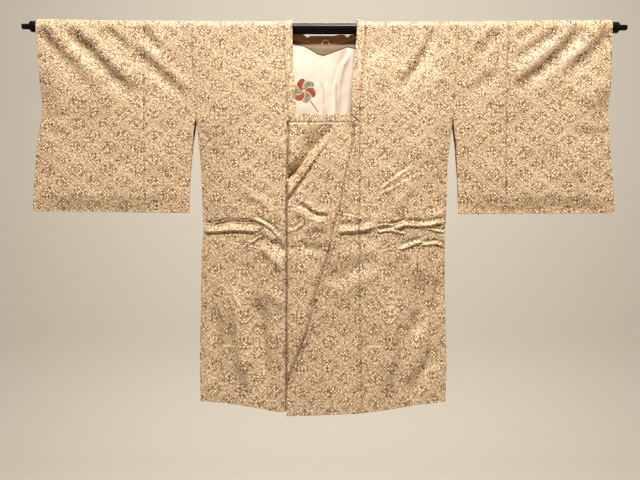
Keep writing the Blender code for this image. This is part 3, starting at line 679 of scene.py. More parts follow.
def under_depth(x, z):
    fold = at_height(FOLD_LINE, z)
    seam = at_height(RIGHT_BAND_SEAM, z)
    below = smooth(z, BAND_BOTTOM_Z, BAND_BOTTOM_Z - SEAM_FADE)
    proud = UNDER_STEP * smooth(x, seam + UNDER_STEP_REACH, seam) * below
    folds = crease_height(UNDER_CREASES, x, z) + tuck_height(UNDER_TUCKS, x, z)
    free = smooth(x, fold - FLAT_UNTIL, fold - FREE_FROM)
    relief = (FOLD_FORCE * folds + pleat_height(x, z)) * free * below
    ditch = BAND_DITCH * np.exp(-((z - BAND_BOTTOM_Z) / BAND_DITCH_WIDTH) ** 2)
    off = (x - fold + at_height(FOLD_VALLEY_OFF, z)) / at_height(FOLD_VALLEY_WIDTH, z)
    valley = at_height(FOLD_VALLEY, z) * np.exp(-(off**2)) * below
    corner = CORNER_LIFT * smooth(x, *CORNER_LIFT_X) * smooth(z, BAND_BOTTOM_Z - SEAM_FADE, BAND_BOTTOM_Z)
    return front_depth(x, z) + relief + proud - ditch - valley + corner


def graded(width, step):
    """Grid positions from 0 to 1 over a width, close together at both rims."""
    rims = np.array([0.0, *RIM_STEPS]) / width
    count = max(2, round((width - 2 * RIM_STEPS[-1]) / step))
    middle = np.linspace(rims[-1], 1 - rims[-1], count + 1)
    return np.array([*rims[:-1], *middle, *(1 - rims[-2::-1])])


def rim_share(columns, rows, ix, iy, closed_top):
    """How much of the wall is left at each grid point: the rims are rounded over two grid lines."""
    steps = np.minimum(ix, len(columns) - 1 - ix)
    steps = np.minimum(steps, len(rows) - 1 - iy)
    if not closed_top:
        steps = np.minimum(steps, iy)
    return np.select([steps == 0, steps == 1], RIM_WALLS, 1.0)


def lay(mesh, columns, rows, place, plan, wall, skip=None, closed_top=False):
    """Adds one grid of cloth to a bmesh.

    place(u, v) gives the outer points, the ways in and the places on the flat cloth, each as its coordinates.
    A new grid spans -0.5 to 0.5 each way, with its first row at the lower end.
    """
    before = len(mesh.verts)
    faces_before = len(mesh.faces)
    bmesh.ops.create_grid(mesh, x_segments=len(columns) - 1, y_segments=len(rows) - 1, size=0.5)
    mesh.verts.ensure_lookup_table()
    mesh.faces.ensure_lookup_table()
    fresh = mesh.verts[before:]
    grid = np.array([vertex.co[:2] for vertex in fresh])
    ix = np.rint((grid[:, 0] + 0.5) * (len(columns) - 1)).astype(int)
    iy = np.rint((0.5 - grid[:, 1]) * (len(rows) - 1)).astype(int)
    u, v = np.asarray(columns)[ix], np.asarray(rows)[iy]
    spots, inward, flat = (np.stack(np.broadcast_arrays(*part, u)[:-1], axis=1) for part in place(u, v))
    share = rim_share(columns, rows, ix, iy, closed_top)
    spots = spots + inward * (wall * (1 - share) / 2)[:, None]
    inward = inward * (wall * share)[:, None]
    flat = on_bolt(plan, flat[:, 0], flat[:, 1])
    way_in = mesh.verts.layers.float_vector["way_in"]
    plan_layer = mesh.verts.layers.float_vector["plan"]
    for vertex, spot, inner, place_on_bolt in zip(fresh, spots * MM, inward * MM, flat):
        vertex.co = spot
        vertex[way_in] = inner
        vertex[plan_layer] = (*place_on_bolt, 0.0)
    if skip:
        wide = len(columns) - 1
        cut = []
        for number, face in enumerate(mesh.faces[faces_before:]):
            column, row = number % wide, len(rows) - 2 - number // wide
            if skip(columns[column], rows[row]):
                cut.append(face)
        bmesh.ops.delete(mesh, geom=cut, context="FACES")


def new_cloth():
    """An empty bmesh that can hold cloth."""
    mesh = bmesh.new()
    mesh.verts.layers.float_vector.new("way_in")
    mesh.verts.layers.float_vector.new("plan")
    return mesh


def finish_cloth(name, mesh, material, nodes):
    """Gives the cloth its inner face and its map, and makes it a declared piece in place of its solids."""
    way_in = mesh.verts.layers.float_vector["way_in"]
    plan_layer = mesh.verts.layers.float_vector["plan"]
    shell = bmesh.ops.extrude_face_region(mesh, geom=mesh.faces[:])
    for item in shell["geom"]:
        if isinstance(item, bmesh.types.BMVert):
            item.co += item[way_in]
    bmesh.ops.recalc_face_normals(mesh, faces=mesh.faces[:])
    plan = mesh.loops.layers.uv.new("cloth_plan")
    for face in mesh.faces:
        for loop in face.loops:
            loop[plan].uv = loop.vert[plan_layer][:2]
    piece = add_piece(name, mesh, material, nodes)


def add_piece(name, mesh, material, nodes):
    """Makes a piece from a bmesh; it rides on the body and replaces its solids."""
    piece = add_object(name, mesh, material)
    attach(piece, "root")
    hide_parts(*nodes)
    return piece


def add_object(name, mesh, material):
    """Puts a bmesh into the scene as a smooth object of one material."""
    data = bpy.data.meshes.new(name)
    mesh.to_mesh(data)
    mesh.free()
    data.materials.append(material)
    data.shade_smooth()
    made = bpy.data.objects.new(name, data)
    bpy.context.scene.collection.objects.link(made)
    return made


def on_drape(x, row, hem_z, side, depth, rise=0.0):
    """Points, ways in and heights up the flat cloth for rows from 1 at the crest through 0 to -1 at the hem.

    The height is that of the hanging front; the back's goes on upwards past the crest.
    """
    radius = across(CREST, x)
    angle = math.pi / 2 * (1 - np.clip(row, 0, 1))
    z_hang = np.where(row < 0, -row * hem_z, 0.0)
    over = row > 0
    at_axis = depth(x, np.zeros_like(x))
    bulge = radius + (at_axis - radius) * np.sin(angle) ** 2 + rise * smooth(row, 0, 1)
    y = np.where(over, side * bulge * np.sin(angle), side * depth(x, z_hang))
    z = np.where(over, bulge * np.cos(angle), z_hang)
    arc = radius * math.pi / 2
    up = np.where(over, radius * (math.pi / 2 - angle), z_hang)
    up = np.where(side > 0, 2 * arc - up, up)
    inward_y = np.where(over, -side * np.sin(angle), -side)
    inward_z = np.where(over, -np.cos(angle), 0.0)
    return (x, y, z), (0, inward_y, inward_z), up


def hanging_rows(length, step, fine=None):
    """Rows from the crest to the hem, close together at the hem's rim and through the fine heights."""
    rims = [1 - rim / length for rim in RIM_STEPS]
    heights = [0.0]
    while heights[-1] > -rims[-1] * length + LAST_ROOM * step:
        in_fine = fine and fine[1] < heights[-1] < fine[0]
        heights.append(heights[-1] - (FINE_STEP if in_fine else step))
    return np.array([*CREST_ROWS, *np.array(heights) / length, *[-rim for rim in rims[::-1]], -1.0])


def row_height(row, hem_z):
    return np.where(row < 0, -row * hem_z, CREST_LEVEL * row)


def strip(near, far, hem, side, depth):
    """place() for a panel between two edges, from the crest to its hem."""

    def place(u, v):
        x = mix(near(np.full_like(u, CREST_LEVEL)), far(np.full_like(u, CREST_LEVEL)), u)
        for _ in range(SETTLE_ROUNDS):
            hem_z = across(hem, x)
            z = row_height(v, hem_z)
            x = mix(near(z), far(z), u)
        spots, inward, up = on_drape(x, v, hem_z, side, depth)
        return spots, inward, (x, up)

    return place


def edge(table, offset):
    return lambda z: at_height(table, z) + offset


def rounded(table, bottom_z, toward):
    """A sleeve's wrist edge, rounded off into its bottom edge."""

    def x_at(z):
        drop = np.maximum(SLEEVE_CORNER - (z - bottom_z), 0.0)
        turn = SLEEVE_CORNER - np.sqrt(np.maximum(SLEEVE_CORNER**2 - drop**2, 0.0))
        return at_height(table, z) + toward * turn

    return x_at


def make_sleeve(prefix, inner, seam, outer, bottom, toward, plan, silk):
    """A sleeve of two joined widths, each one cloth over the rod from its front bottom to its back bottom."""
    corner_z = min(place.z for place in bottom)
    wrist = rounded(outer, across(bottom, at_height(outer, corner_z)), -toward)
    widths = (
        (prefix, edge(inner, toward * HALF_GAP), edge(seam, -toward * HALF_GAP)),
        (f"{prefix}_wrist", edge(seam, toward * HALF_GAP), wrist),
    )
    for name, near, far in widths:
        width = abs(float(far(SLEEVE_MEASURE_Z) - near(SLEEVE_MEASURE_Z)))
        mesh = new_cloth()
        for side, depth, step in ((-1, front_depth, FRONT_STEP), (1, back_depth, SLEEVE_BACK_STEP)):
            columns, rows = graded(width, SLEEVE_COLUMN_STEP), hanging_rows(-corner_z, step)
            lay(mesh, columns, rows, strip(near, far, bottom, side, depth), plan, WALL, closed_top=True)
        bmesh.ops.remove_doubles(mesh, verts=mesh.verts[:], dist=WELD)
        finish_cloth(f"{name}_silk", mesh, silk, [f"{name}_front", f"{name}_back"])


def make_body(side_name, side_table, seam_table, hem, way, depth, plan, silk):
    """A body width: one cloth from the front hem over the shoulder to the back hem, cut out for the neck."""
    mesh = new_cloth()
    near, far = edge(seam_table, way * HALF_GAP), edge(side_table, -way * HALF_GAP)
    width = abs(float(far(BODY_MEASURE_Z) - near(BODY_MEASURE_Z)))
    front = graded(width, FINE_COLUMN_STEP)
    rows = hanging_rows(BODY_FRONT_LENGTH, FRONT_STEP, fine=WAIST)
    lay(mesh, front, rows, strip(near, far, hem, -1, depth), plan, WALL, closed_top=True)
    neck_x = float(near(CREST_LEVEL))
    under_neck = np.linspace(0, NECK_SHARE, NECK_COLUMNS)[1:-1]
    back = [0.0, CENTRE_RIM, *under_neck, *(NECK_SHARE + (1 - NECK_SHARE) * graded(width, FRONT_STEP))]
    neck_row = BACK_NECK_SEAM_Z / -BACK_HEM_Z
    rows = hanging_rows(-BACK_HEM_Z, BACK_STEP)
    rows = np.sort(np.append(rows[np.abs(rows - neck_row) > NECK_ROW_ROOM], neck_row))[::-1]

    def place(u, v):
        z = row_height(v, BACK_HEM_Z)
        in_neck = mix(way * HALF_GAP, neck_x, u / NECK_SHARE)
        beside = mix(neck_x, far(z), (u - NECK_SHARE) / (1 - NECK_SHARE))
        x = np.where(u <= NECK_SHARE, in_neck, beside)
        spots, inward, up = on_drape(x, v, BACK_HEM_Z, 1, back_depth)
        return spots, inward, (x, up)

    def in_neck_hole(u, v):
        return u < NECK_SHARE - HAIR and v > neck_row + HAIR

    lay(mesh, back, rows, place, plan, WALL, skip=in_neck_hole, closed_top=True)
    bmesh.ops.remove_doubles(mesh, verts=mesh.verts[:], dist=WELD)
    nodes = [f"front_{side_name}", f"back_{side_name}"]
    finish_cloth(f"body_{side_name}_silk", mesh, silk, nodes)


def overlap_rows(top, count):
    """Rows of an overlap from its top to its hem, close together at both rims."""
    first, second = OVERLAP_RIMS
    return np.array([top, top - first, *np.linspace(top - second, second - 1, count), first - 1, -1.0])


def make_overlap_over(silk):
    """The over front's overlap: front layer, folded diagonal edge and the flap behind it."""
    front = [*OVER_RIMS, *np.linspace(OVER_RIM_END, 1, OVER_COLUMNS)]
    turn = np.linspace(1, 2, TURN_COLUMNS)[1:]
    flap = np.linspace(2, 3, FLAP_COLUMNS)[1:]

    def place(u, v):
        hem_z = np.full_like(u, float(across(LEFT_HEM, OVER_START_X)))
        for _ in range(SETTLE_ROUNDS):
            z = -v * hem_z
            seam_x = at_height(LEFT_BAND_SEAM, z) - HALF_GAP
            turn_x = at_height(FOLD_LINE, z) + FOLD_RADIUS
            flap_x = at_height(FLAP_EDGE, z)
            x = np.where(u <= 2, mix(seam_x, turn_x, np.minimum(u, 1.0)), mix(turn_x, flap_x, u - 2))
            hem_z = across(LEFT_HEM, x)
        angle = math.pi * np.clip(u - 1, 0, 1)
        y = -over_flap_depth(x, z) + FOLD_RADIUS * (1 - np.cos(angle))
        shown_x = np.where((u > 1) & (u < 2), turn_x - FOLD_RADIUS * np.sin(angle), x)
        run = np.where(u <= 2, x, 2 * turn_x - x)
        return (shown_x, y, z), (np.sin(angle), np.cos(angle), 0), (run, z)

    mesh = new_cloth()
    rows = overlap_rows(OVERLAP_TOP_Z / -across(LEFT_HEM, OVER_TOP_X), OVER_ROWS)
    lay(mesh, [*front, *turn, *flap], rows, place, BODY_LEFT_PLAN, WALL)
    finish_cloth("overlap_over_silk", mesh, silk, ["overlap_over"])


def make_overlap_under(silk):
    """The under front's overlap, sagging in soft pleats."""

    def place(u, v):
        x = np.full_like(u, UNDER_SEAM_X)
        for _ in range(SETTLE_ROUNDS):
            z = -v * across(RIGHT_HEM, x)
            x = mix(at_height(RIGHT_BAND_SEAM, z) + HALF_GAP, UNDER_EDGE_X, u)
        return (x, -under_depth(x, z), z), BACKWARD, (x, z)

    mesh = new_cloth()
    rows = overlap_rows((BAND_BOTTOM_Z - GAP) / -across(RIGHT_HEM, UNDER_SEAM_X), UNDER_ROWS)
    lay(mesh, graded(UNDER_CUT.width / MM, FINE_COLUMN_STEP), rows, place, BODY_LEFT_PLAN, WALL)
    finish_cloth("overlap_under_silk", mesh, silk, ["overlap_under"])


def make_front_band(name, edge_table, seam_table, toward, depth, plan, silk):
    """A front neck band from the crest to its mitred corner."""
    corner_in_z, corner_out_z = BAND_BOTTOM_Z + BAND_WIDTH, BAND_BOTTOM_Z + MITRE_RISE

    def place(u, v):
        foot_z = mix(corner_in_z, corner_out_z, u)
        z = row_height(v, foot_z)
        x = mix(at_height(edge_table, z), at_height(seam_table, z) - toward * HALF_GAP, u)
        spots, inward, up = on_drape(x, v, foot_z, -1, depth, rise=BAND_RISE * (1 - u))
        return spots, inward, (x, up)

    mesh = new_cloth()
    columns, rows = graded(BAND_WIDTH, BAND_COLUMN_STEP), hanging_rows(FRONT_BAND_LENGTH, BAND_ROW_STEP)
    lay(mesh, columns, rows, place, plan, WALL)
    finish_cloth(f"{name}_silk", mesh, silk, [name])


def make_bottom_band(silk):
    """The band across the bottom of the neck."""

    def place(u, v):
        z = mix(BAND_BOTTOM_Z + BAND_WIDTH, BAND_BOTTOM_Z, v)
        mitre_x = mix(at_height(RIGHT_BAND_EDGE, z), at_height(RIGHT_BAND_SEAM, z), v) + MITRE_GAP
        x = mix(mitre_x, UNDER_EDGE_X, u)
        return (x, -under_depth(x, z), z), BACKWARD, (z, x)

    mesh = new_cloth()
    columns, rows = graded(BOTTOM_BAND_LENGTH, BOTTOM_BAND_STEP), graded(BAND_WIDTH, BAND_COLUMN_STEP)
    lay(mesh, columns, rows, place, BODY_LEFT_PLAN, WALL)
    finish_cloth("band_bottom_silk", mesh, silk, ["band_bottom"])


def make_back_band(silk):
    """The band round the back of the neck, with an arm up to the crest at each end."""
    arms = np.linspace(NECK_EDGE_X, NECK_SEAM_X - HALF_GAP, ARM_COLUMNS)[1:]
    columns = [*-arms[::-1], *np.linspace(-NECK_EDGE_X, NECK_EDGE_X, BACK_BAND_COLUMNS), *arms]
    rows = [*CREST_ROWS, *np.linspace(0, -1, ARM_ROWS)[:-1], *np.linspace(-1, -2, BACK_BAND_ROWS)]

    def place(u, v):
        rise = BAND_RISE * np.clip((NECK_SEAM_X - np.abs(u)) / (NECK_SEAM_X - NECK_EDGE_X), 0, 1)
        (_, y, z), inward, _ = on_drape(u, np.maximum(v, 0), -1.0, 1, back_depth, rise=rise)
        top_z = across(BACK_NECK_EDGE, u)
        below_top = mix(top_z, BACK_NECK_SEAM_Z + GAP, np.clip(-v - 1, 0, 1))
        hung_z = np.where(v >= -1, np.clip(-v, 0, 1) * top_z, below_top)
        y = np.where(v > 0, y, back_depth(u, hung_z))
        z = np.where(v > 0, z, hung_z)
        return (u, y, z), inward, (z, u)

    def between_arms(u, v):
        return -NECK_EDGE_X - CLEAR <= u < NECK_EDGE_X - CLEAR and v > -1

    mesh = new_cloth()
    lay(mesh, columns, rows, place, BODY_LEFT_PLAN, WALL, skip=between_arms)
    finish_cloth("band_back_silk", mesh, silk, ["band_back"])


def inside_back(x, z, layer):
    """Depth of the face of the first or second layer inside the back."""
    ease = LINING_EASE * smooth(z, *LINING_EASE_Z)
    return back_depth(x, z) - WALL - layer * GAP - (layer - 1) * LINING_WALL - ease


def make_lining(silk):
    """The dyed lining of the back."""

    def place(u, v):
        z = mix(LINING_TOP_Z, LINING_HEM_Z, v)
        top_half = NECK_SEAM_X - LINING_TOP_IN
        x = u * np.minimum(LINING_HALF_WIDTH, top_half + LINING_WIDENS * (LINING_TOP_Z - z))
        return (x, inside_back(x, z, 1) - crease_height(LINING_CREASES, x, z), z), FORWARD, (x, z)

    mesh = new_cloth()
    columns = 2 * graded(LINING_CUT.width / MM, LINING_COLUMN_STEP) - 1
    lay(mesh, columns, graded(LINING_CUT.length / MM, LINING_ROW_STEP), place, LINING_PLAN, LINING_WALL)
    finish_cloth("lining_back_silk", mesh, silk, ["lining_back"])


def make_facing(cotton):
    """The facing inside the back neck."""

    def place(u, v):
        x = u * (NECK_EDGE_X + FACING_PAST_EDGE)
        z = mix(across(BACK_NECK_EDGE, x) - FACING_DROP, across(FACING_EDGE, x), v)
        return (x, inside_back(x, z, 2), z), FORWARD, (x, z)

    mesh = new_cloth()
    columns = 2 * graded(FACING_CUT.width / MM, FACING_STEP) - 1
    lay(mesh, columns, graded(FACING_MID_DEPTH, FACING_STEP), place, LINING_PLAN, LINING_WALL)
    finish_cloth("neck_facing_cotton", mesh, cotton, ["neck_facing"])


# The figure, in halves of a repeat from each lozenge's centre: a is for the large lozenges and b for the
# small ones between them. The real figure has lines 2 to 3 mm apart. They are drawn 5 to 7 mm apart, so that
# they show.
FIGURE_SUMS = [
    ("u0", "ROUND", "u"), ("ax", "SUBTRACT", "u", "u0"), ("v0", "ROUND", "v"),
    ("ay", "SUBTRACT", "v", "v0"), ("ax_size", "ABSOLUTE", "ax"), ("ay_size", "ABSOLUTE", "ay"),
    ("ax_half", "MULTIPLY", "ax_size", 2.0), ("ay_half", "MULTIPLY", "ay_size", 2.0),
    ("ax_power", "POWER", "ax_half", 1.25), ("ay_power", "POWER", "ay_half", 1.25),
    ("a_power", "ADD", "ax_power", "ay_power"), ("a", "POWER", "a_power", 0.8),
    ("bx_half", "SUBTRACT", 1.0, "ax_half"), ("by_half", "SUBTRACT", 1.0, "ay_half"),
    ("bx_power", "POWER", "bx_half", 1.6), ("by_power", "POWER", "by_half", 1.6),
    ("b_power", "ADD", "bx_power", "by_power"), ("b", "POWER", "b_power", 0.625),
]
FIGURE_TONES = [
    # ground: concentric lines, fainter here and there
    ("turns", "MULTIPLY_ADD", "a", 33.0, 1.37), ("lines", "COSINE", "turns"),
    ("in_a", "LESS_THAN", "a", 0.64), ("in_b", "LESS_THAN", "b", 0.48),
    ("in_flower", "MAXIMUM", "in_a", "in_b"), ("in_ground", "SUBTRACT", 1.0, "in_flower"),
    ("line_part", "MULTIPLY", "lines", "in_ground"), ("line_force", "MULTIPLY", "wander", 0.235),
    ("line_tone", "MULTIPLY", "line_part", "line_force"),
    # lozenge outlines, dark
    ("past_a", "LESS_THAN", "a", 0.70), ("rim_a", "SUBTRACT", "past_a", "in_a"),
    ("past_b", "LESS_THAN", "b", 0.55), ("rim_b", "SUBTRACT", "past_b", "in_b"),
    ("rim_b_weak", "MULTIPLY", "rim_b", 0.6), ("rims", "MAXIMUM", "rim_a", "rim_b_weak"),
    # flowers: petals round the centre and woven dots, broken into bright and dark threads
    ("angle", "ARCTAN2", "ay", "ax"), ("petal_turn", "MULTIPLY", "angle", 8.0),
    ("petals", "COSINE", "petal_turn"), ("ring_turn", "MULTIPLY", "a", 25.0),
    ("rings", "SINE", "ring_turn"), ("flower_a", "MULTIPLY", "petals", "rings"),
    ("dot_u_turn", "MULTIPLY", "u", 52.0), ("dot_v_turn", "MULTIPLY", "v", 40.0),
    ("dot_u", "COSINE", "dot_u_turn"), ("dot_v", "COSINE", "dot_v_turn"),
    ("dots", "MULTIPLY", "dot_u", "dot_v"), ("speck", "SUBTRACT", "speckle", 0.5),
    ("speck_big", "MULTIPLY", "speck", 2.5), ("flecks", "MULTIPLY_ADD", "speck", 14.0, 0.5),
    ("threads", "MULTIPLY", "dots", "flecks"), ("flower_1", "MULTIPLY_ADD", "flower_a", 0.5, "speck_big"),
    ("flower", "MULTIPLY_ADD", "threads", 2.6, "flower_1"),
    ("flower_part", "MULTIPLY", "flower", "in_flower"),
    # all together: each part is added in its strength
    ("broad_off", "SUBTRACT", "broad", 0.5), ("tone_1", "MULTIPLY_ADD", "flower_part", 0.142, "line_tone"),
    ("tone_2", "ADD", "tone_1", "speck"), ("tone_3", "MULTIPLY_ADD", "broad_off", 0.15, "tone_2"),
    ("tone_4", "MULTIPLY_ADD", "rims", -0.11, "tone_3"),
    ("tone_5", "MULTIPLY_ADD", "in_flower", -0.062, "tone_4"), ("tone", "ADD", "tone_5", 0.6),
]
# Noise cells per repeat of about 70 mm: woven specks of 5 mm, drawn coarser than the threads to show, then
# patches where the lines are fainter, and broad clouds of tone
SILK_NOISES = chart(Noise, ("speckle", 13.0, 1.0, 0.6), ("wander", 4.0, 1.0, 0.5), ("broad", 0.8, 2.0, 0.5))


def make_silk():
    """Figured silk, woven with matt lozenges and flowers on satin: warm beige, with speckled flowers."""
    material, tree, shader = new_material("figured_silk", 0.5, Sheen_Weight=0.05, Specular_IOR_Level=0.3)
    plan = add(tree, "ShaderNodeUVMap", uv_map="cloth_plan").outputs["UV"]
    parts = add(tree, "ShaderNodeSeparateXYZ", {"Vector": plan})
    found = {"u": parts.outputs["X"], "v": parts.outputs["Y"]}
    # a repeat is 70 mm wide and about 54 mm tall, so the noise is stretched to cells as tall as wide
    grain = add(tree, "ShaderNodeMapping", {"Vector": plan, "Scale": (1.0, 0.78, 1.0)}).outputs[0]
    for name, scale, detail, roughness in SILK_NOISES:
        values = {"Vector": grain, "Scale": scale, "Detail": detail, "Roughness": roughness}
        found[name] = add(tree, "ShaderNodeTexNoise", values).outputs["Fac"]
    work_out(tree, found, FIGURE_SUMS + FIGURE_TONES)
    stops = [(0.0, "#3E2006"), (0.3, "#764C24"), (0.6, "#B69E80"), (0.85, "#E9D2B0"), (1.0, "#FAE8CC")]
    add(tree, "ShaderNodeValToRGB", {"Fac": found["tone"]}, stops, shader.inputs["Base Color"])
    relief = {"Height": found["tone"], "Strength": 0.45, "Distance": 0.001}
    add(tree, "ShaderNodeBump", relief, into=shader.inputs["Normal"])
    return material


# The pinwheel on the lining, in metres from its centre, and its stick
PINWHEEL_SUMS = [
    ("px", "SUBTRACT", "x", -0.0490), ("pz", "SUBTRACT", "z", -0.1460), ("px2", "MULTIPLY", "px", "px"),
    ("pz2", "MULTIPLY", "pz", "pz"), ("p2", "ADD", "px2", "pz2"), ("r", "SQRT", "p2"),
    ("angle", "ARCTAN2", "pz", "px"), ("angle3", "MULTIPLY", "angle", 3.0),
    ("swirl", "MULTIPLY_ADD", "r", 90.0, "angle3"), ("blade", "SINE", "swirl"),
    ("blade_size", "ABSOLUTE", "blade"), ("reach", "MULTIPLY_ADD", "blade_size", 0.007, 0.0225),
    ("inside", "LESS_THAN", "r", "reach"), ("solid", "GREATER_THAN", "blade_size", 0.14),
    ("hub", "GREATER_THAN", "r", 0.003), ("drawn_1", "MULTIPLY", "inside", "solid"),
    ("drawn", "MULTIPLY", "drawn_1", "hub"), ("red", "GREATER_THAN", "blade", 0.0),
    # stick: distance from a slanting line, between its ends
    ("sx", "SUBTRACT", "x", -0.034), ("sz", "SUBTRACT", "z", -0.169), ("sx_run", "MULTIPLY", "sx", 0.588),
    ("run", "MULTIPLY_ADD", "sz", -0.809, "sx_run"), ("sx_off", "MULTIPLY", "sx", 0.809),
    ("off", "MULTIPLY_ADD", "sz", 0.588, "sx_off"), ("off_size", "ABSOLUTE", "off"),
    ("thin", "LESS_THAN", "off_size", 0.0011), ("from_start", "GREATER_THAN", "run", 0.0),
    ("to_end", "LESS_THAN", "run", 0.033), ("stick_1", "MULTIPLY", "thin", "from_start"),
    ("stick", "MULTIPLY", "stick_1", "to_end"),
    # pink across the lining, and flecked blades
    ("pink", "MULTIPLY_ADD", "x", 5.0, "cloud"), ("dye_part", "MULTIPLY_ADD", "dye", 1.2, -0.35),
    ("blade_tone", "MULTIPLY_ADD", "red", 0.5, "dye_part"),
]
# The facing's single part begins along a line that sags in the middle
FACING_SUMS = [
    ("x2", "MULTIPLY", "x", "x"), ("sag", "MULTIPLY_ADD", "x2", -2.5, "z"), ("level", "ADD", "sag", 0.0365),
    ("level_in_folds", "MULTIPLY_ADD", "level", 40.0, 0.5),
]


def make_lining_silk():
    """Thin dyed lining silk, cream that goes to pale pink, with a small pinwheel."""
    material, tree, shader = new_material("dyed_lining_silk", 0.5, Sheen_Weight=0.15)
    spot = add(tree, "ShaderNodeTexCoord").outputs["Object"]
    parts = add(tree, "ShaderNodeSeparateXYZ", {"Vector": spot})
    found = {"x": parts.outputs["X"], "z": parts.outputs["Z"]}
    # clouds of dye about 11 cm across, and flecks of about 4 mm in the pinwheel's blades
    for name, scale, detail in (("cloud", 9.0, 2.0), ("dye", 260.0, 1.0)):
        values = {"Vector": spot, "Scale": scale, "Detail": detail}
        found[name] = add(tree, "ShaderNodeTexNoise", values).outputs["Fac"]
    work_out(tree, found, PINWHEEL_SUMS)
    stops = [(0.2, "#D6CFBF"), (0.75, "#CFBBAC")]
    ground = add(tree, "ShaderNodeValToRGB", {"Fac": found["pink"]}, stops)
    stops = [(0.15, "#5A5A42"), (0.4, "#ABA584"), (0.6, "#4E160A"), (0.85, "#B4441E")]
    blades = add(tree, "ShaderNodeValToRGB", {"Fac": found["blade_tone"]}, stops)
    layers = {0: found["drawn"], 6: ground.outputs[0], 7: blades.outputs[0]}
    wheel = add(tree, "ShaderNodeMix", layers, data_type="RGBA")
    layers = {0: found["stick"], 6: wheel.outputs[2], 7: srgb("#4E3424")}
    whole = add(tree, "ShaderNodeMix", layers, data_type="RGBA")
    tree.links.new(whole.outputs[2], shader.inputs["Base Color"])
    return material


def make_facing_cloth():
    """Sheer brown facing: reddish where doubled under the neck, grey-brown where it lies single."""
    material, tree, shader = new_material("sheer_facing_cloth", 0.6)
    spot = add(tree, "ShaderNodeTexCoord").outputs["Object"]
    parts = add(tree, "ShaderNodeSeparateXYZ", {"Vector": spot})
    found = {"x": parts.outputs["X"], "z": parts.outputs["Z"]}
    work_out(tree, found, FACING_SUMS)
    # painted light: the doubled part's browns are lighter than the cloth, against the rod's shadow on it
    stops = [(0.1, "#786344"), (0.46, "#8A7150"), (0.54, "#DCA070"), (1.0, "#C48555")]
    add(tree, "ShaderNodeValToRGB", {"Fac": found["level_in_folds"]}, stops, shader.inputs["Base Color"])
    return material


def make_cord():
    """Twisted loop cord, light tan: slanting stripes 2 to 2.5 mm apart for its strands."""
    material, tree, shader = new_material("twisted_loop_cord", 0.6)
    spot = add(tree, "ShaderNodeTexCoord").outputs["Object"]
    twist = add(tree, "ShaderNodeTexWave", {"Vector": spot, "Scale": 180.0}, bands_direction="DIAGONAL")
    # painted light: the tans are paler than the cord, to make up for the rod's shadow on the loop
    stops = [(0.0, "#F0CC98"), (1.0, "#FFF8E4")]
    add(tree, "ShaderNodeValToRGB", {"Fac": twist.outputs["Fac"]}, stops, shader.inputs["Base Color"])
    return material


def make_enamel():
    """Black enamel on steel tube: a clean highlight along the top and a very faint orange peel."""
    material, tree, shader = new_material("black_enamelled_steel", 0.28, Specular_IOR_Level=0.07)
    spot = add(tree, "ShaderNodeTexCoord").outputs["Object"]
    # cells of 17 mm with finer ones down to 2 mm in them: real orange peel is too fine to show
    wear = add(tree, "ShaderNodeTexNoise", {"Vector": spot, "Scale": 60.0, "Detail": 3.0}).outputs["Fac"]
    stops = [(0.3, "#0B0B0C"), (0.8, "#17171A")]
    add(tree, "ShaderNodeValToRGB", {"Fac": wear}, stops, shader.inputs["Base Color"])
    orange_peel = {"Height": wear, "Strength": 0.02, "Distance": 0.0003}
    add(tree, "ShaderNodeBump", orange_peel, into=shader.inputs["Normal"])
    return material


def make_wall_paint(name, code):
    """Matt emulsion paint with a faint roller texture in cells of 8 mm: a real one is too fine to show."""
    material, tree, shader = new_material(name, 0.85)
    spot = add(tree, "ShaderNodeTexCoord").outputs["Object"]
    roller = add(tree, "ShaderNodeTexNoise", {"Vector": spot, "Scale": 120.0}).outputs["Fac"]
    relief = {"Height": roller, "Strength": 0.05, "Distance": 0.001}
    add(tree, "ShaderNodeBump", relief, into=shader.inputs["Normal"])
    shader.inputs["Base Color"].default_value = srgb(code)
    return material


def make_loop(cord):
    """The hanging loop: a cord arch on the facing."""
    curve = bpy.data.curves.new("loop_path", "CURVE")
    curve.dimensions = "3D"
    curve.bevel_depth = LOOP_THREAD * MM
    curve.bevel_resolution = LOOP_ROUND
    curve.use_fill_caps = True
    foot_z = LOOP_CENTRE.z - LOOP_LEG
    route = [(LOOP_CENTRE.x + LOOP_RADIUS, foot_z)]
    for angle in np.linspace(0, math.pi, LOOP_POINTS):
        up = LOOP_RADIUS * math.sin(angle)
        route.append((LOOP_CENTRE.x + LOOP_RADIUS * math.cos(angle), LOOP_CENTRE.z + up))
    route.append((LOOP_CENTRE.x - LOOP_RADIUS, foot_z))
    spline = curve.splines.new("POLY")
    spline.points.add(len(route) - 1)
    for point, (x, z) in zip(spline.points, route):
        y = float(inside_back(x, z, 2)) - LINING_WALL - GAP - LOOP_THREAD
        point.co = (x * MM, y * MM, z * MM, 1)
    holder = bpy.data.objects.new("loop_path", curve)
    bpy.context.scene.collection.objects.link(holder)
    data = bpy.data.meshes.new_from_object(holder)
    bpy.data.objects.remove(holder)
    mesh = bmesh.new()
    mesh.from_mesh(data)
    add_piece("loop_cord", mesh, cord, ["hanging_loop"])


def make_stage(paint):
    """A pale sweep of card: floor in front, curved up behind the rod."""
    mesh = bmesh.new()
    bmesh.ops.create_grid(mesh, x_segments=1, y_segments=SWEEP_STEPS, size=0.5)
    for vertex in mesh.verts:
        run = (vertex.co.y + 0.5) * SWEEP_LENGTH
        angle = min(max((run - SWEEP_FLOOR) / SWEEP_RADIUS, 0.0), math.pi / 2)
        past = max(run - SWEEP_FLOOR - SWEEP_RADIUS * math.pi / 2, 0.0)
        y = SWEEP_BACK - SWEEP_RADIUS + min(run - SWEEP_FLOOR, 0.0) + SWEEP_RADIUS * math.sin(angle)
        z = FLOOR_Z + SWEEP_RADIUS * (1 - math.cos(angle)) + past
        vertex.co = (vertex.co.x * SWEEP_WIDTH, y, z)
    add_object("floor", mesh, paint)


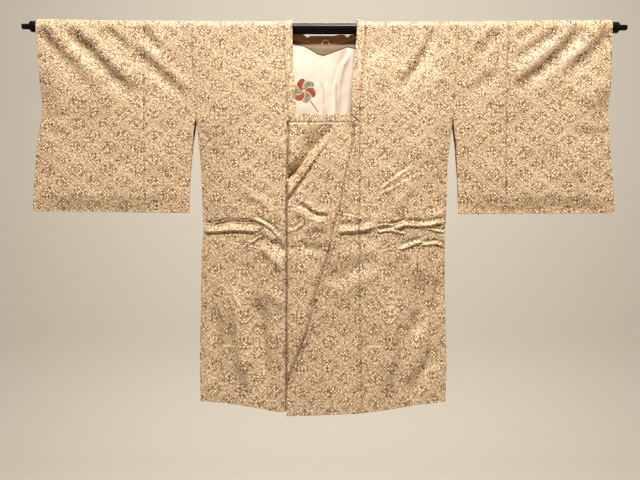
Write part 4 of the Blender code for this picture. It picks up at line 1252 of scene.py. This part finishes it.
def make_lights():
    """The soft lights of the table, and a dim warm room."""
    for row in LIGHTS:
        light = bpy.data.lights.new(row.name, "AREA")
        light.shape = "RECTANGLE"
        light.size, light.size_y = row.size
        light.energy = row.energy
        light.color = srgb(row.code)[:3]
        lamp = bpy.data.objects.new(row.name, light)
        lamp.location = row.place
        way = [t - s for t, s in zip(row.target, row.place)]
        lamp.rotation_euler = Vector(way).to_track_quat("-Z", "Y").to_euler()
        bpy.context.scene.collection.objects.link(lamp)
    world = bpy.data.worlds.new("room")
    world.use_nodes = True
    background = world.node_tree.nodes["Background"]
    background.inputs["Color"].default_value = srgb(ROOM_CODE)
    background.inputs["Strength"].default_value = ROOM_STRENGTH
    bpy.context.scene.world = world
    bpy.context.scene.view_settings.view_transform = "Standard"


def make_camera():
    data = bpy.data.cameras.new("camera")
    data.sensor_width = SENSOR
    data.lens = LENS
    camera = bpy.data.objects.new("camera", data)
    camera.location = CAMERA_PLACE
    camera.rotation_euler = (math.radians(90), 0, 0)
    bpy.context.scene.collection.objects.link(camera)
    bpy.context.scene.camera = camera


def main():
    make_camera()
    silk = make_silk()
    right_edges = (RIGHT_SLEEVE_INNER, RIGHT_PIECING_SEAM, RIGHT_SLEEVE_OUTER, RIGHT_SLEEVE_BOTTOM)
    left_edges = (LEFT_SLEEVE_INNER, LEFT_PIECING_SEAM, LEFT_SLEEVE_OUTER, LEFT_SLEEVE_BOTTOM)
    make_body("right", BODY_RIGHT_SIDE, RIGHT_BAND_SEAM, RIGHT_HEM, -1, front_depth, BODY_RIGHT_PLAN, silk)
    make_body("left", BODY_LEFT_SIDE, LEFT_BAND_SEAM, LEFT_HEM, 1, over_depth, BODY_LEFT_PLAN, silk)
    make_overlap_over(silk)
    make_overlap_under(silk)
    make_front_band("band_right", RIGHT_BAND_EDGE, RIGHT_BAND_SEAM, -1, front_depth, BODY_RIGHT_PLAN, silk)
    make_front_band("band_left", LEFT_BAND_EDGE, LEFT_BAND_SEAM, 1, over_depth, BODY_LEFT_PLAN, silk)
    make_bottom_band(silk)
    make_back_band(silk)
    make_sleeve("sleeve_right", *right_edges, -1, RIGHT_SLEEVE_PLAN, silk)
    make_sleeve("sleeve_left", *left_edges, 1, LEFT_SLEEVE_PLAN, silk)
    make_lining(make_lining_silk())
    make_facing(make_facing_cloth())
    make_loop(make_cord())
    enamel = make_enamel()
    for slot in bpy.data.objects["hanger_rod"].material_slots:
        slot.material = enamel
    make_stage(make_wall_paint("pale_sweep_card", "#CCC7BD"))
    make_lights()


main()
